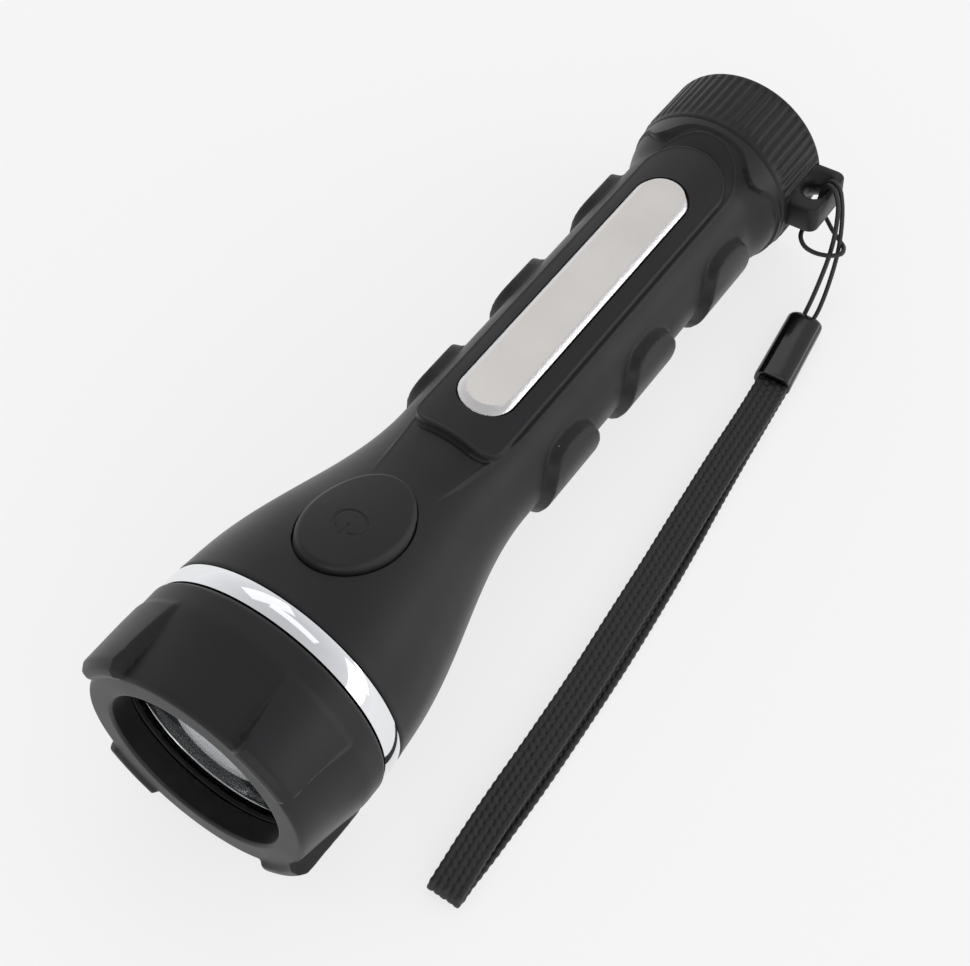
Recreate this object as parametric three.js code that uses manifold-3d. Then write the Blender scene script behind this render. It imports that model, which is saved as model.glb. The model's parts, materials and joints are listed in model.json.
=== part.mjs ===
// A rubber-covered pocket torch with a push button, an inlaid steel plate and a wrist lanyard.
// Millimetres. The beam points along +X, +Z is up and +Y is the side of the lanyard lug.
// Inside the torch group, x = 0 is the plane of the front rim and the axis is y = z = 0.
import * as THREE from 'three';
import { mergeVertices } from 'three/addons/utils/BufferGeometryUtils.js';
import Module from 'manifold-3d';

const wasm = await Module();
wasm.setup();

// Overall sizes
const LENGTH = 190;
const GAP = 0.3;
const TAIL_R = 19;
const REST_BEHIND_RIM = 24;

// Bezel
const MOUTH_R = 18.1;
const RIM_R = 23.4;
const HEAD_R = 26;
const LUG_R = 26.4;
const LUG_NOSE = 0.75;
const LUG_HALF_FRONT = 13.5;
const LUG_HALF_REAR = 18;
const LUG_START = 40;
const BEZEL_REAR = -20;
const LENS_R = 21;
const SEAL_R = 22.9;

// Rubber grip
const BODY_FRONT = -24.8;
const BODY_FRONT_R = 25.96;
const BODY_REAR = -173;
const NECK_START = -25;
const NECK_END = -80;
const NECK_R = 25.3;
const TUBE_R = 15.5;
const LIP_LENGTH = 2;
const COLLAR_R = 18.4;
const GRIP_COLUMNS = 48;
const NECK_STATIONS = [-33, -42, -52, -62, -69];

// Raised island that frames the inlaid plate, and the ledge around it
const ISLAND_FRONT = -73.5;
const ISLAND_REAR = -165.2;
const ISLAND_HALF = 8.4;
const ISLAND_R = 17.8;
const LEDGE_FRONT = -62;
const LEDGE_REAR = -170.4;
const LEDGE_HALF = 9.8;
const LEDGE_HEIGHT = 0.7;

// Finger lumps, three on each side
const LUMP_CENTRES = [-92.6, -121.5, -152.1];
const LUMP_HALF_FRONT = 8.9;
const LUMP_HALF_REAR = 11.1;
const LUMP_MIDDLE_ANGLE = 105;
const LUMP_HALF_ANGLE = 48;
const LUMP_HEIGHT = 2.1;

// Inlaid plate
const PLATE_LENGTH = 73.4;
const PLATE_WIDTH = 11.7;
const PLATE_CENTRE = -117.2;
const PLATE_TOP = 17.9;
const PLATE_BEVEL = 0.9;

// Push button, whose frame stands square to the neck
const BUTTON_X = -45.7;
const BUTTON_TILT = 12.5;
const BUTTON_HALF_LENGTH = 13.4;
const BUTTON_HALF_WIDTH = 9;
const BUTTON_PROUD = 1.6;
const BUTTON_DEPTH = 0.7;

// Light source, stacked behind the reflector
const EMITTER_R = 2.5;
const BOARD_FRONT = -29.6;
const BOARD_REAR = -31.2;
const SCREW_Y = 6.9;

// Barrel, cells and tail cap
const RUBBER_WALL = 2;
const BARREL_FRONT = -10.4;
const BARREL_REAR = -184.3;
const BARREL_WALL = 1.6;
const BARREL_TUBE_R = 14.2;
const CELL_BORE_R = 13.4;
const FRONT_SPIGOT_R = 22.6;
const TAIL_SPIGOT_R = 15.6;
const TAIL_SEAL_R = 15.9;
const CELL_R = 13;
const CELL_LENGTH = 50;
const CELL_FRONT = -61.5;
const CAP_FRONT = BODY_REAR - GAP;
const CAP_RIBS = 56;
const RIB_DEPTH = 0.45;
const LUG_ANGLE = 8;
const LUG_OUTER = 25.2;
const LUG_FRONT = -175.2;
const LUG_THICKNESS = 6.5;
const LUG_HOLE_R = 2.5;
const LUG_HOLE_X = -183.3;
const LUG_HOLE_Y = 21.1;

// Lanyard
const CORD_R = 0.5;
const STRAP_WIDTH = 7;
const STRAP_THICKNESS = 1.1;
const FERRULE_LENGTH = 18.6;
const FERRULE_WIDTH = 7.2;
const FERRULE_HEIGHT = 5.4;

const { degToRad, clamp, lerp, smoothstep } = THREE.MathUtils;

function finish(color, roughness, metalness) {
  return new THREE.MeshStandardMaterial({ color, roughness, metalness });
}

const RUBBER = finish(0x3a3a3c, 0.65, 0);
const GLOSS_BLACK = finish(0x141415, 0.2, 0);
const BLACK_PLASTIC = finish(0x26272a, 0.5, 0);
const WHITE_PLASTIC = finish(0xe4e2dc, 0.5, 0);
const CHROME = finish(0xe6e7ea, 0.08, 1);
const STEEL = finish(0xcac7c5, 0.3, 1);
const BRASS = finish(0xc9a24c, 0.35, 1);
const MIRROR = finish(0xd8d8da, 0.1, 1);
const CLEAR = finish(0xf2f5f7, 0.05, 0);
const SILICONE = finish(0x1b1b1c, 0.7, 0);
const BOARD = finish(0x2f6b45, 0.6, 0);
const WIRE = finish(0xb02a24, 0.5, 0);
const CELL_WRAP = finish(0x49586b, 0.4, 0.2);
const BRAID = finish(0x1d1d1c, 0.9, 0);
const EMITTER = finish(0xf4f1d8, 0.2, 0);

// Six times the signed volume is enough to tell which way the faces point.
function facesPointOut(geometry) {
  const points = geometry.attributes.position;
  const index = geometry.index;
  const corner = [new THREE.Vector3(), new THREE.Vector3(), new THREE.Vector3()];
  let total = 0;
  for (let i = 0; i < index.count; i += 3) {
    corner.forEach((vertex, k) => vertex.fromBufferAttribute(points, index.getX(i + k)));
    total += corner[0].dot(corner[1].cross(corner[2]));
  }
  return total > 0;
}

// Merges shared vertices, drops faces that a pole squeezes to a line, and turns all faces outward.
function closed(geometry) {
  geometry.deleteAttribute('normal');
  geometry.deleteAttribute('uv');
  const merged = mergeVertices(geometry, 1e-4);
  const corners = merged.index.array;
  const kept = [];
  for (let i = 0; i < corners.length; i += 3) {
    const [a, b, c] = [corners[i], corners[i + 1], corners[i + 2]];
    if (a !== b && b !== c && c !== a) {
      kept.push(a, b, c);
    }
  }
  merged.setIndex(kept);
  if (!facesPointOut(merged)) {
    merged.setIndex(kept.reverse());
  }
  return merged;
}

function toSolid(geometry) {
  const mesh = new wasm.Mesh({
    numProp: 3,
    vertProperties: new Float32Array(geometry.attributes.position.array),
    triVerts: new Uint32Array(geometry.index.array),
  });
  return new wasm.Manifold(mesh);
}

function toGeometry(solid) {
  const mesh = solid.getMesh();
  const geometry = new THREE.BufferGeometry();
  geometry.setAttribute('position', new THREE.BufferAttribute(mesh.vertProperties, 3));
  geometry.setIndex(new THREE.BufferAttribute(mesh.triVerts, 1));
  return geometry;
}

function cut(body, ...tools) {
  return toGeometry(tools.reduce((rest, tool) => rest.subtract(toSolid(tool)), toSolid(body)));
}

function join(...pieces) {
  return toGeometry(pieces.map(toSolid).reduce((whole, piece) => whole.add(piece)));
}

function common(a, b) {
  return toGeometry(toSolid(a).intersect(toSolid(b)));
}

// Turns a closed outline of [x, radius] points around the X axis, with a flat facet underneath.
function turned(outline, segments = 28) {
  const points = outline.map(([x, radius]) => new THREE.Vector2(radius, x));
  points.push(points[0].clone());
  const lathe = new THREE.LatheGeometry(points, segments, Math.PI / segments);
  return closed(lathe.rotateZ(-Math.PI / 2));
}

function ring(rear, front, inner, outer, segments = 28) {
  return turned([[front, inner], [front, outer], [rear, outer], [rear, inner]], segments);
}

function disc(rear, front, radius, segments = 28) {
  return turned([[front, 0], [front, radius], [rear, radius], [rear, 0]], segments);
}

function block(x, y, z) {
  const size = [x[1] - x[0], y[1] - y[0], z[1] - z[0]];
  const box = new THREE.BoxGeometry(...size);
  box.translate((x[0] + x[1]) / 2, (y[0] + y[1]) / 2, (z[0] + z[1]) / 2);
  return closed(box);
}

// A shape in the XY plane, extruded up from z = bottom to z = top.
function prism(shape, bottom, top, curveSegments = 10) {
  const options = { depth: top - bottom, bevelEnabled: false, curveSegments };
  return closed(new THREE.ExtrudeGeometry(shape, options).translate(0, 0, bottom));
}

// A rounded rectangle with its middle at (x, y); half of the width as corner makes a stadium.
function roundedShape(x, y, length, width, corner) {
  const shape = new THREE.Shape();
  const halfLength = length / 2 - corner;
  const halfWidth = width / 2 - corner;
  const quarters = [[1, 1, 0], [-1, 1, 90], [-1, -1, 180], [1, -1, 270]];
  for (const [sx, sy, start] of quarters) {
    const centreX = x + sx * halfLength;
    const centreY = y + sy * halfWidth;
    shape.absarc(centreX, centreY, corner, degToRad(start), degToRad(start + 90), false);
  }
  return shape;
}

// A rectangle with its corners cut off.
function bevelledShape(width, height, bevel) {
  const corners = [];
  for (const [sx, sy] of [[1, 1], [-1, 1], [-1, -1], [1, -1]]) {
    const upright = new THREE.Vector2((sx * width) / 2, sy * (height / 2 - bevel));
    const level = new THREE.Vector2(sx * (width / 2 - bevel), (sy * height) / 2);
    corners.push(...(sx * sy > 0 ? [upright, level] : [level, upright]));
  }
  return new THREE.Shape(corners);
}

function ellipseShape(halfLength, halfWidth) {
  const shape = new THREE.Shape();
  shape.absellipse(0, 0, halfLength, halfWidth, 0, 2 * Math.PI, false, 0);
  return shape;
}

// A rod of the given section along a smooth curve through the points.
function swept(points, section, steps) {
  const path = new THREE.CatmullRomCurve3(points.map((p) => new THREE.Vector3(...p)), false, 'centripetal');
  return closed(new THREE.ExtrudeGeometry(section, { steps, extrudePath: path, curveSegments: 2 }));
}

function polygonShape(radius, sides) {
  const corners = [];
  for (let i = 0; i < sides; i += 1) {
    const angle = (2 * Math.PI * (i + 0.5)) / sides;
    corners.push(new THREE.Vector2(radius * Math.cos(angle), radius * Math.sin(angle)));
  }
  return new THREE.Shape(corners);
}

// A closed skin over rings of points around the X axis, whose last ring joins the first.
function skinned(rows, columns, point) {
  const positions = [];
  const faces = [];
  for (let i = 0; i < rows; i += 1) {
    for (let j = 0; j < columns; j += 1) {
      const [x, radius, angle] = point(i, j);
      const turn = degToRad(angle);
      positions.push(x, radius * Math.sin(turn), radius * Math.cos(turn));
      const here = i * columns + j;
      const beside = i * columns + ((j + 1) % columns);
      const behind = ((i + 1) % rows) * columns + j;
      const across = ((i + 1) % rows) * columns + ((j + 1) % columns);
      faces.push(here, beside, behind, beside, across, behind);
    }
  }
  const geometry = new THREE.BufferGeometry();
  geometry.setAttribute('position', new THREE.Float32BufferAttribute(positions, 3));
  geometry.setIndex(faces);
  return closed(geometry);
}

function range(start, end, count) {
  return Array.from({ length: count }, (_, i) => lerp(start, end, i / (count - 1)));
}

// Radius of the neck and tube, without the lip at the front or the flare at the tail.
function neckRadius(x) {
  const t = clamp((NECK_START - x) / (NECK_START - NECK_END), 0, 1);
  return TUBE_R + (NECK_R - TUBE_R) * 0.5 * (1 + Math.cos(Math.PI * t));
}

function barrelRadius(x) {
  return Math.max(neckRadius(x) - RUBBER_WALL - GAP, BARREL_TUBE_R);
}

function baseRadius(x) {
  const lip = (BODY_FRONT_R - NECK_R) * Math.exp((x - BODY_FRONT) / LIP_LENGTH);
  const flare = (COLLAR_R - 0.6 - TUBE_R) * smoothstep(-x, 163, 171.5);
  return neckRadius(x) + lip + flare;
}

// Distance outside a rounded rectangle of the plan view; it is negative inside.
function planDistance(x, y, rear, front, half, frontCorner) {
  const middle = (rear + front) / 2;
  const corner = x > middle ? frontCorner : half;
  const dx = Math.abs(x - middle) - (front - rear) / 2 + corner;
  const dy = Math.abs(y) - half + corner;
  return Math.hypot(Math.max(dx, 0), Math.max(dy, 0)) + Math.min(Math.max(dx, dy), 0) - corner;
}

function lumpHeight(x, angle) {
  const v = Math.abs(Math.abs(angle) - LUMP_MIDDLE_ANGLE) / LUMP_HALF_ANGLE;
  const heights = LUMP_CENTRES.map((centre) => {
    const u = Math.abs(x - centre) / (x > centre ? LUMP_HALF_FRONT : LUMP_HALF_REAR);
    const distance = (u ** 2.8 + v ** 2.8) ** (1 / 2.8);
    return LUMP_HEIGHT * (1 - smoothstep(distance, 0.8, 0.94));
  });
  return Math.max(...heights);
}

// The collar's front edge reaches forward beside the island on both sides.
function collarEdge(angle) {
  const reach = 4.3 * Math.exp(-(((Math.abs(angle) - 40) / 15) ** 2));
  return -171.4 + reach - 0.9 * smoothstep(Math.abs(angle), 60, 85);
}

function gripRadius(x, angle) {
  const base = baseRadius(x);
  const side = Math.abs(angle) < 80 ? base * Math.sin(degToRad(angle)) : 20;
  const narrowing = 3 * smoothstep(x, -86, -60);
  const ledge = planDistance(x, side, LEDGE_REAR, LEDGE_FRONT, LEDGE_HALF - narrowing, 4);
  const island = planDistance(x, side, ISLAND_REAR, ISLAND_FRONT, ISLAND_HALF, 4);
  const fade = 1 - smoothstep(x, -76, -64);
  let radius = base + LEDGE_HEIGHT * fade * (1 - smoothstep(ledge, -0.5, 0.5));
  radius = lerp(radius, Math.max(base, ISLAND_R), 1 - smoothstep(island, -0.6, 0.9));
  radius = Math.max(radius, base + lumpHeight(x, angle));
  return Math.max(radius, lerp(base, COLLAR_R, 1 - smoothstep(x - collarEdge(angle), -0.4, 0.6)));
}

function gripStations() {
  const stations = [BODY_FRONT, -26.4, -30, -36, -42, -48, -54, -60, -66, -70, -72.8, -74.2, -77.5];
  const slopes = [8.4, 7.1, 3.5, -1, -5.5, -8.8, -10.5];
  LUMP_CENTRES.forEach((centre) => stations.push(...slopes.map((offset) => centre + offset)));
  stations.push(-164.2, -166, -168, -169.6, -170.8, -172, BODY_REAR);
  return stations;
}

function buttonFrame(geometry) {
  geometry.rotateY(-degToRad(BUTTON_TILT));
  return geometry.translate(BUTTON_X, 0, neckRadius(BUTTON_X));
}

function ovalPrism(grow, bottom, top) {
  const shape = ellipseShape(BUTTON_HALF_LENGTH + grow, BUTTON_HALF_WIDTH + grow);
  return buttonFrame(prism(shape, bottom, top, 16));
}

function rod(radius, bottom, top) {
  return buttonFrame(prism(polygonShape(radius, 20), bottom, top));
}

function stadium(grow, bottom, top) {
  const width = PLATE_WIDTH + 2 * grow;
  const shape = roundedShape(PLATE_CENTRE, 0, PLATE_LENGTH + 2 * grow, width, width / 2 - 0.01);
  return prism(shape, bottom, top);
}

function rubberGrip() {
  const outer = gripStations();
  const inner = [BODY_REAR, ...NECK_STATIONS.toReversed(), BODY_FRONT];
  const columns = GRIP_COLUMNS;
  const skin = skinned(outer.length + inner.length, columns, (i, j) => {
    const angle = ((j + 0.5) * 360) / columns - 180;
    if (i < outer.length) {
      return [outer[i], gripRadius(outer[i], angle), angle];
    }
    const x = inner[i - outer.length];
    return [x, barrelRadius(x) + GAP, angle];
  });
  const platePocket = stadium(GAP, PLATE_TOP - 2.3, PLATE_TOP + 2);
  const stripChannel = block([-174, -58], [-2.4, 2.4], [13, 15.2]);
  return cut(skin, ovalPrism(GAP, -6, 5), platePocket, stripChannel);
}

function lugMask(offset, half) {
  return 1 - smoothstep(Math.abs(offset), 0.93 * half, 1.13 * half);
}

// Rings of the bezel's outside: x and radius in a valley, then x and radius on a lug.
const BEZEL_RINGS = [
  [0, 18.6, 0, 18.6],
  [0, 22.8, 0, 22.8],
  [-0.6, RIM_R, LUG_NOSE, 23.9],
  [-1.4, 23.6, LUG_NOSE - 0.3, 25.4],
  [-2.8, 23.8, -1, LUG_R],
  [-6, 24.3, -6, LUG_R],
  [-10.5, 25.1, -10.5, LUG_R],
  [-14.4, HEAD_R - 0.1, -14.4, LUG_R - 0.1],
  [-15.5, HEAD_R, -15.5, HEAD_R],
  [-19.3, HEAD_R, -19.3, HEAD_R],
  [BEZEL_REAR, HEAD_R - 0.6, BEZEL_REAR, HEAD_R - 0.6],
];

// Rings of the bezel's inside, from the seal skirt to the mouth.
const BEZEL_BORES = [
  [BEZEL_REAR, 24.5],
  [-16.4, 24.5],
  [-16.4, SEAL_R],
  [-10.1, SEAL_R],
  [-10.1, LENS_R + 0.4],
  [-5, LENS_R + 0.4],
  [-5, MOUTH_R + 0.2],
  [-0.4, MOUTH_R],
];

function bezel() {
  const lugOffsets = [-1.13, -0.93, -0.5, 0, 0.5, 0.93, 1.13];
  const valleySteps = [0.2, 0.4, 0.6, 0.8];
  const columnsPerQuarter = lugOffsets.length + valleySteps.length;
  const rows = BEZEL_RINGS.length + BEZEL_BORES.length;
  return skinned(rows, 4 * columnsPerQuarter, (i, j) => {
    const quarter = Math.floor(j / columnsPerQuarter);
    const column = j % columnsPerQuarter;
    const outside = i < BEZEL_RINGS.length;
    const ringX = outside ? BEZEL_RINGS[i][0] : BEZEL_BORES[i - BEZEL_RINGS.length][0];
    const half = lerp(LUG_HALF_FRONT, LUG_HALF_REAR, clamp(-ringX / 15, 0, 1));
    const edge = 1.13 * half;
    const offset = column < lugOffsets.length
      ? lugOffsets[column] * half
      : lerp(edge, 90 - edge, valleySteps[column - lugOffsets.length]);
    const angle = LUG_START + 90 * quarter + offset;
    if (!outside) {
      const [x, radius] = BEZEL_BORES[i - BEZEL_RINGS.length];
      return [x, radius, angle];
    }
    const [valleyX, valleyR, lugX, lugR] = BEZEL_RINGS[i];
    const mask = column < lugOffsets.length ? lugMask(offset, half) : 0;
    return [lerp(valleyX, lugX, mask), lerp(valleyR, lugR, mask), angle];
  });
}

function barrel() {
  const neckStations = [BODY_FRONT - GAP, ...NECK_STATIONS];
  const innerStations = [...NECK_STATIONS.slice(1, 4).reverse(), -34.2];
  const outline = [
    [BARREL_FRONT, LENS_R],
    [BARREL_FRONT, FRONT_SPIGOT_R],
    [BODY_FRONT - GAP, FRONT_SPIGOT_R],
    ...neckStations.map((x) => [x, barrelRadius(x)]),
    [CAP_FRONT - GAP, BARREL_TUBE_R],
    [CAP_FRONT - GAP, TAIL_SPIGOT_R],
    [BARREL_REAR, TAIL_SPIGOT_R],
    [BARREL_REAR, CELL_BORE_R],
    [-66, CELL_BORE_R],
    ...innerStations.map((x) => [x, barrelRadius(x) - BARREL_WALL]),
    [-34.2, LENS_R],
  ];
  const window = rod(3.6, -6, 1);
  const frontSlot = block([-71, -56], [-2.4, 2.4], [13.8, 18]);
  const tailSlot = block([-186, -172], [-2.4, 2.4], [14.1, 15.3]);
  return cut(turned(outline, 24), window, frontSlot, tailSlot);
}

function parabolaRadius(x, vertex, focus) {
  return Math.sqrt(4 * focus * (x - vertex));
}

function reflector() {
  const focus = 4.2;
  const vertex = -28.27;
  const wall = 1;
  const inside = range(-27.6, -9.2, 7).map((x) => [x, parabolaRadius(x, vertex, focus)]);
  const outside = range(-10.4, -26.4, 5).map((x) => [x, parabolaRadius(x, vertex, focus) + wall]);
  const flange = [[-8.9, 18.2], [-8.9, LENS_R], [-10.1, LENS_R], [-10.1, 19.6]];
  const hub = [[-26.8, 4.6], [-29.1, 4.6], [-29.1, 2.9]];
  return turned([...inside, ...flange, ...outside, ...hub], 24);
}

function ledEmitter() {
  const dome = range(0, 90, 5).map((angle) => {
    const turn = degToRad(angle);
    return [-25.4 + EMITTER_R * Math.sin(turn), EMITTER_R * Math.cos(turn)];
  });
  return turned([[BOARD_FRONT + GAP, 0], [BOARD_FRONT + GAP, EMITTER_R], ...dome], 16);
}

function boardScrew(y) {
  const outline = [[-28.1, 0], [-28.1, 1.3], [-28.5, 1.9], [-29.3, 1.9], [-29.3, 1], [-33.2, 1], [-33.2, 0]];
  return turned(outline, 12).translate(0, y, 0);
}

function pilotHole(y) {
  return disc(-34, -29, 1.3, 12).translate(0, y, 0);
}

function ledBoard() {
  return cut(disc(BOARD_REAR, BOARD_FRONT, 9.4), pilotHole(SCREW_Y), pilotHole(-SCREW_Y));
}

// Carries the board in front, the switch above and the front contact behind.
function coreFrame() {
  const plate = ring(-33.4, BOARD_REAR - GAP, 5, 20.5);
  const seat = ring(-59.4, -57.4, 1.8, 14.2);
  const spine = block([-58.4, -32.4], [-4, 4], [-12.5, -9.5]);
  const post = block([-47, -41], [-2.5, 2.5], [-10.5, 8.8]);
  const cradle = buttonFrame(block([-8.5, 6.8], [-5, 5], [-14.8, -12.9]));
  const stripNotch = block([-60, -57], [-2.5, 2.5], [13.4, 16]);
  return cut(join(plate, seat, spine, post, cradle), pilotHole(SCREW_Y), pilotHole(-SCREW_Y), stripNotch);
}

function switchHousing() {
  const box = buttonFrame(block([-8, 8], [-4.8, 4.8], [-12.5, -5.2]));
  return cut(box, rod(3.5, -11.8, -4));
}

function frontContact() {
  return turned([[-52.6, 0], [-52.6, 1.4], [-59.7, 1.4], [-59.7, 3.4], [-61.2, 3.4], [-61.2, 0]], 20);
}

function groundStrip() {
  const flat = block([-184, -54.2], [-2, 2], [14.5, 14.95]);
  const tongue = block([-55, -54.2], [-2, 2], [10.2, 14.7]);
  return join(flat, tongue);
}

function cell(front) {
  const rear = front - CELL_LENGTH;
  const outline = [
    [front, 0], [front, 3.3], [front - 1.6, 3.3], [front - 1.6, 11.6], [front - 2.6, CELL_R],
    [rear + 0.6, CELL_R], [rear, CELL_R - 0.8], [rear, 0],
  ];
  return turned(outline, 28);
}

function tailSpring() {
  const turns = 4;
  const stepsPerTurn = 8;
  const points = range(0, turns * stepsPerTurn, turns * stepsPerTurn + 1).map((step) => {
    const t = step / (turns * stepsPerTurn);
    const angle = 2 * Math.PI * turns * t;
    const radius = lerp(5, 8.2, t);
    return [lerp(-162.8, -183.4, t), radius * Math.cos(angle), radius * Math.sin(angle)];
  });
  return swept(points, polygonShape(0.6, 5), turns * stepsPerTurn);
}

function ribbedShape() {
  const corners = [];
  for (let i = 0; i < 2 * CAP_RIBS; i += 1) {
    const angle = (Math.PI * i) / CAP_RIBS;
    const radius = i % 2 === 0 ? TAIL_R - RIB_DEPTH : TAIL_R;
    corners.push(new THREE.Vector2(radius * Math.cos(angle), radius * Math.sin(angle)));
  }
  return new THREE.Shape(corners);
}

// The ribbed section is drawn in XY and stood along X.
function ribbedDrum() {
  const drum = prism(ribbedShape(), 0, LENGTH + CAP_FRONT);
  return drum.rotateY(-Math.PI / 2).translate(CAP_FRONT, 0, 0);
}

function capLug() {
  const length = LENGTH + LUG_FRONT;
  const middleX = (LUG_FRONT - LENGTH) / 2;
  const shape = roundedShape(middleX, (LUG_OUTER + 12) / 2, length, LUG_OUTER - 12, 2.2);
  const plate = prism(shape, -LUG_THICKNESS / 2, LUG_THICKNESS / 2, 4);
  return plate.rotateX(degToRad(LUG_ANGLE));
}

function tailCap() {
  const bore = turned([
    [CAP_FRONT + 1, 0], [CAP_FRONT + 1, 17.8], [-176.6, 17.8],
    [-176.6, TAIL_SEAL_R], [-185.8, TAIL_SEAL_R], [-185.8, 0],
  ], 40);
  const hole = prism(polygonShape(LUG_HOLE_R, 20), -8, 8);
  hole.translate(LUG_HOLE_X, LUG_HOLE_Y, 0).rotateX(degToRad(LUG_ANGLE));
  return cut(join(ribbedDrum(), capLug()), bore, hole);
}

function inlayPlate() {
  const inset = PLATE_BEVEL + 0.3;
  const width = PLATE_WIDTH - 2 * inset;
  const shape = roundedShape(PLATE_CENTRE, 0, PLATE_LENGTH - 2 * inset, width, width / 2 - 0.01);
  const bevel = { bevelEnabled: true, bevelThickness: PLATE_BEVEL, bevelSize: inset, bevelSegments: 1 };
  const plate = new THREE.ExtrudeGeometry(shape, { depth: 0.2, curveSegments: 6, ...bevel });
  return closed(plate.translate(0, 0, PLATE_TOP - PLATE_BEVEL - 0.2));
}

// The neck's own surface, grown by a distance, as a solid on the axis.
function neckSolid(grow) {
  const stations = range(-29, -63, 8);
  return turned([[-29, 0], ...stations.map((x) => [x, neckRadius(x) + grow]), [-63, 0]], 48);
}

function button() {
  const pad = common(ovalPrism(0, -6, 8), neckSolid(BUTTON_PROUD));
  return cut(pad, neckSolid(-BUTTON_DEPTH));
}

const torch = new THREE.Group();

function place(name, geometry, material, parent = torch) {
  const mesh = new THREE.Mesh(geometry, material);
  mesh.name = name;
  parent.add(mesh);
  return mesh;
}

place('bezel', bezel(), RUBBER);
place('lens_gasket', ring(-6.4, -5.3, 18.6, LENS_R), SILICONE);
place('lens', disc(-8.6, -6.7, LENS_R), CLEAR);
place('reflector', reflector(), MIRROR);
place('led_emitter', ledEmitter(), EMITTER);
place('led_board', ledBoard(), BOARD);
place('board_screw_1', boardScrew(SCREW_Y), STEEL);
place('board_screw_2', boardScrew(-SCREW_Y), STEEL);
place('core_frame', coreFrame(), WHITE_PLASTIC);
place('switch_housing', switchHousing(), BLACK_PLASTIC);
place('switch_dome', rod(2.9, -10.8, -10.3), STEEL);
place('switch_plunger', rod(3, -8.6, -1.2), WHITE_PLASTIC);
place('button', button(), RUBBER);
place('front_contact', frontContact(), BRASS);
const POSITIVE_ROUTE = [[-52.2, 0, 0], [-48, 3.9, -1], [-40, 4.1, -1], [-35, 2.5, 0], [-31.6, 1, 0]];
place('positive_lead', swept(POSITIVE_ROUTE, polygonShape(0.6, 6), 12), WIRE);
const SWITCH_ROUTE = [[-34.9, 0, 15], [-34.7, 0, 12], [-34.6, 0, 8], [-34.5, 0, 5], [-31.7, 0, 2.6]];
place('switch_lead', swept(SWITCH_ROUTE, polygonShape(0.6, 6), 12), WIRE);
place('ground_strip', groundStrip(), BRASS);
place('bezel_o_ring', ring(-18.8, -17, SEAL_R, 24.2), SILICONE);
place('chrome_ring', ring(-24.5, -20.3, SEAL_R, 25.2, 48), CHROME);
place('barrel', barrel(), BLACK_PLASTIC);
place('rubber_grip', rubberGrip(), RUBBER);
place('inlay_plate', inlayPlate(), STEEL);
place('cell_1', cell(CELL_FRONT), CELL_WRAP);
place('cell_2', cell(CELL_FRONT - CELL_LENGTH - GAP), CELL_WRAP);
place('tail_spring', tailSpring(), STEEL);
place('tail_contact', disc(-185.4, -184.7, 15.2), STEEL);
place('tail_o_ring', ring(-176.1, -174.3, TAIL_SEAL_R, 17.4), SILICONE);
place('tail_cap', tailCap(), RUBBER);

// The torch lies on the rubber edge behind the head and on the rear edge of the tail cap.
const headDrop = HEAD_R * Math.cos(Math.PI / GRIP_COLUMNS);
const tailDrop = TAIL_R * Math.cos(Math.PI / CAP_RIBS);
const pitch = Math.atan((headDrop - tailDrop) / (LENGTH - REST_BEHIND_RIM));
torch.rotation.y = -pitch;
torch.position.z = headDrop * Math.cos(pitch) + REST_BEHIND_RIM * Math.sin(pitch);
const extent = new THREE.Box3().setFromObject(torch, true);
torch.position.x = -(extent.min.x + extent.max.x) / 2;

// The lanyard hangs from the lug and lies on the floor beside the torch.
const lanyard = new THREE.Group();

// Both ends of the cord are held in the ferrule; its bight is looped round them under the lug.
const CORD_ROUTE = [
  [-74.7, 30.6, 2.9], [-76.9, 30.5, 5.6], [-79.6, 30.2, 9.4], [-82.4, 29.7, 13.4], [-84.5, 29, 17.2],
  [-86.2, 28, 20.8], [-87.3, 26.9, 24.2], [-87.9, 25.3, 26.9], [-88.4, 23.5, 27.5], [-88.5, 22.3, 26],
  [-88.5, 22.1, 22.8], [-88.3, 22, 19.8], [-87, 21.9, 17.8], [-84.4, 21.8, 17], [-82, 22.4, 16.2],
  [-80.9, 24.2, 15.3], [-80.9, 26.9, 15], [-81.7, 30.3, 15.7], [-83.3, 31.9, 16], [-85.6, 31.3, 15.5],
  [-87.4, 29.4, 14.9], [-88.4, 27, 15.6], [-89.5, 24.6, 16.7], [-89.9, 22.7, 17.8], [-89.8, 22, 19.8],
  [-89.9, 22.1, 22.8], [-89.9, 22.3, 26], [-89.9, 23.6, 27.5], [-89.5, 25.4, 26.9], [-88.9, 27, 24.2],
  [-87.9, 28.4, 20.8], [-86.3, 29.7, 17.4], [-84.4, 30.8, 14], [-81.2, 31.9, 9.4], [-78.1, 32.6, 5.4],
  [-75.9, 32.8, 2.9],
];

// The upper layer of the strap, its fold, and the lower layer back to the ferrule.
const STRAP_ROUTE = [
  [-54, 34.3, 3.1], [-44, 35.1, 3], [-30, 35.9, 2.95], [-15, 37, 2.95], [0, 38.2, 2.95], [15, 39.2, 2.95],
  [30, 40.2, 2.95], [45, 40.8, 2.95], [60, 41.2, 3], [69, 41.7, 3.2], [75.4, 42.2, 3.4], [78.8, 42.4, 3.1],
  [79.8, 42.4, 2.1], [78.8, 42.4, 1.1], [75.4, 42.3, 0.8], [68, 42.5, 0.8], [52, 42.5, 0.8], [38, 42.1, 0.8],
  [22, 41.4, 0.8], [7, 40.3, 0.8], [-8, 38.9, 0.8], [-22, 37.3, 0.8], [-37, 35.8, 0.8], [-47, 34.9, 0.85],
  [-54, 34.3, 1],
];

const cordSection = polygonShape(CORD_R, 8);
place('lanyard_cord', swept(CORD_ROUTE, cordSection, 70), BRAID, lanyard);
const strapSection = bevelledShape(STRAP_THICKNESS, STRAP_WIDTH, 0.3);
place('wrist_strap', swept(STRAP_ROUTE, strapSection, 72), BRAID, lanyard);

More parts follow.
